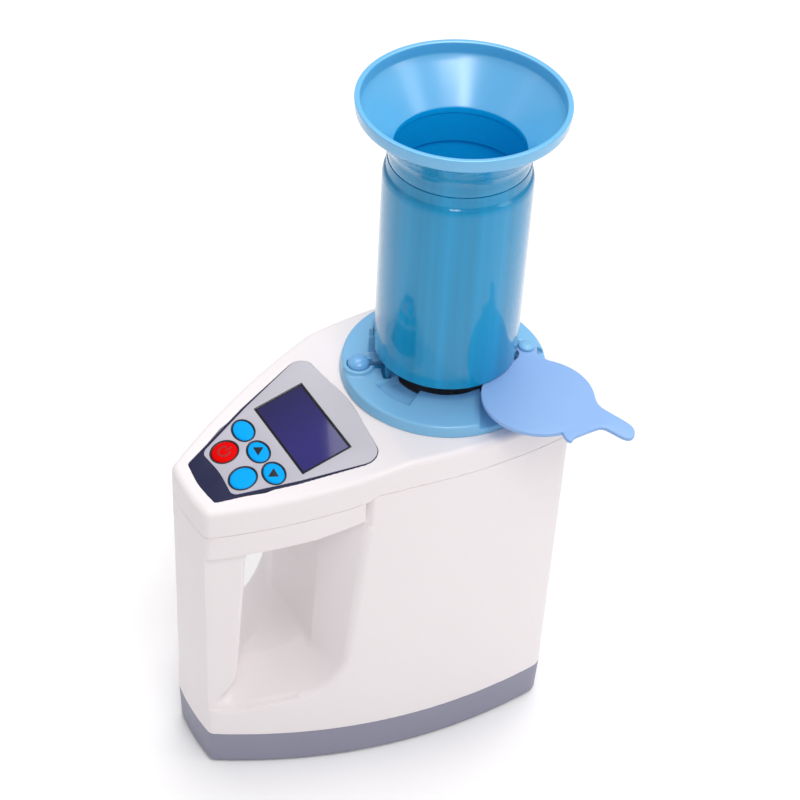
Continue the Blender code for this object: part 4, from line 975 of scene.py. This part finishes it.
bm = bmesh.new()
bmesh.ops.create_grid(bm, x_segments=8, y_segments=8, size=6.0)
me = bpy.data.meshes.new("floor")
bm.to_mesh(me)
bm.free()
floor = bpy.data.objects.new("floor", me)
bpy.context.scene.collection.objects.link(floor)
M_FLOOR, nt, b = new_mat("m_floor")
b.inputs["Base Color"].default_value = (0.93, 0.93, 0.935, 1)
b.inputs["Roughness"].default_value = 0.95
b.inputs["Specular IOR Level"].default_value = 0.05
me.materials.append(M_FLOOR)

# white studio with a darker patch behind the viewer, which shows in the glossy pieces
world = bpy.data.worlds.new("studio")
bpy.context.scene.world = world
world.use_nodes = True
wn, wl = world.node_tree.nodes, world.node_tree.links
bg = wn["Background"]
tc = wn.new("ShaderNodeTexCoord")
dot = wn.new("ShaderNodeVectorMath")
dot.operation = "DOT_PRODUCT"
hb = Vector((back.x, back.y, 0.25)).normalized()
dot.inputs[1].default_value = hb
wl.new(tc.outputs["Generated"], dot.inputs[0])
mr = wn.new("ShaderNodeMapRange")
mr.interpolation_type = "SMOOTHSTEP"
mr.inputs["From Min"].default_value = 0.50
mr.inputs["From Max"].default_value = 0.93
mr.inputs["To Min"].default_value = 1.0
mr.inputs["To Max"].default_value = 0.8
wl.new(dot.outputs["Value"], mr.inputs["Value"])
mx = wn.new("ShaderNodeMixRGB")
mx.blend_type = "MULTIPLY"
mx.inputs[0].default_value = 1.0
mx.inputs[1].default_value = (1.0, 0.985, 1.0, 1)
wl.new(mr.outputs["Result"], mx.inputs[2])
wl.new(mx.outputs[0], bg.inputs["Color"])
bg.inputs["Strength"].default_value = 0.50


def area(name, loc, target, size, power, color=(1, 1, 1), size_y=None):
    ld = bpy.data.lights.new(name, "AREA")
    ld.shape = "RECTANGLE"
    ld.size = size
    ld.size_y = size_y or size
    ld.energy = power
    ld.color = color
    ob = bpy.data.objects.new(name, ld)
    bpy.context.scene.collection.objects.link(ob)
    ob.location = loc
    ob.rotation_mode = "QUATERNION"
    ob.rotation_quaternion = (Vector(target) - Vector(loc)).to_track_quat("-Z", "Y")
    return ob


hr = Vector((right.x, right.y, 0)).normalized()       # to the viewer's right
hv = Vector((back.x, back.y, 0)).normalized()         # towards the viewer


def at(r, v, z):
    p = hr * r + hv * v
    return (p.x, p.y, z)


area("key_softbox", at(0.35, 0.95, 2.1), (0, 0, 0.2), 0.8, 17, (1, 0.99, 0.985))
area("front_softbox", at(-0.05, 1.35, 1.68), (0, 0, 0.42), 0.42, 3.6, (1, 1, 1), 0.3)
area("right_softbox", at(1.8, 0.5, 1.1), (0, 0, 0.2), 0.6, 6, (1, 0.985, 0.97), 1.6)
area("left_softbox", at(-1.8, 0.2, 0.9), (0, 0, 0.25), 0.5, 1.0, (0.97, 0.97, 1.0), 1.6)
area("top_softbox", at(0.1, -0.6, 2.2), (0, 0, 0.2), 1.4, 25, (1, 0.99, 0.98))

cx_ = right * math.cos(ROLL) + up * math.sin(ROLL)
cy_ = -right * math.sin(ROLL) + up * math.cos(ROLL)
cam_d = bpy.data.cameras.new("camera")
cam_d.lens = 98.68
cam_d.sensor_width = 36.0
cam_d.clip_start = 0.05
cam_d.clip_end = 50.0
cam = bpy.data.objects.new("camera", cam_d)
bpy.context.scene.collection.objects.link(cam)
rot = Matrix((cx_, cy_, back)).transposed()
cam.matrix_world = Matrix.Translation(TARGET + back * DIST) @ rot.to_4x4()
bpy.context.scene.camera = cam
bpy.context.scene.view_settings.view_transform = "Standard"
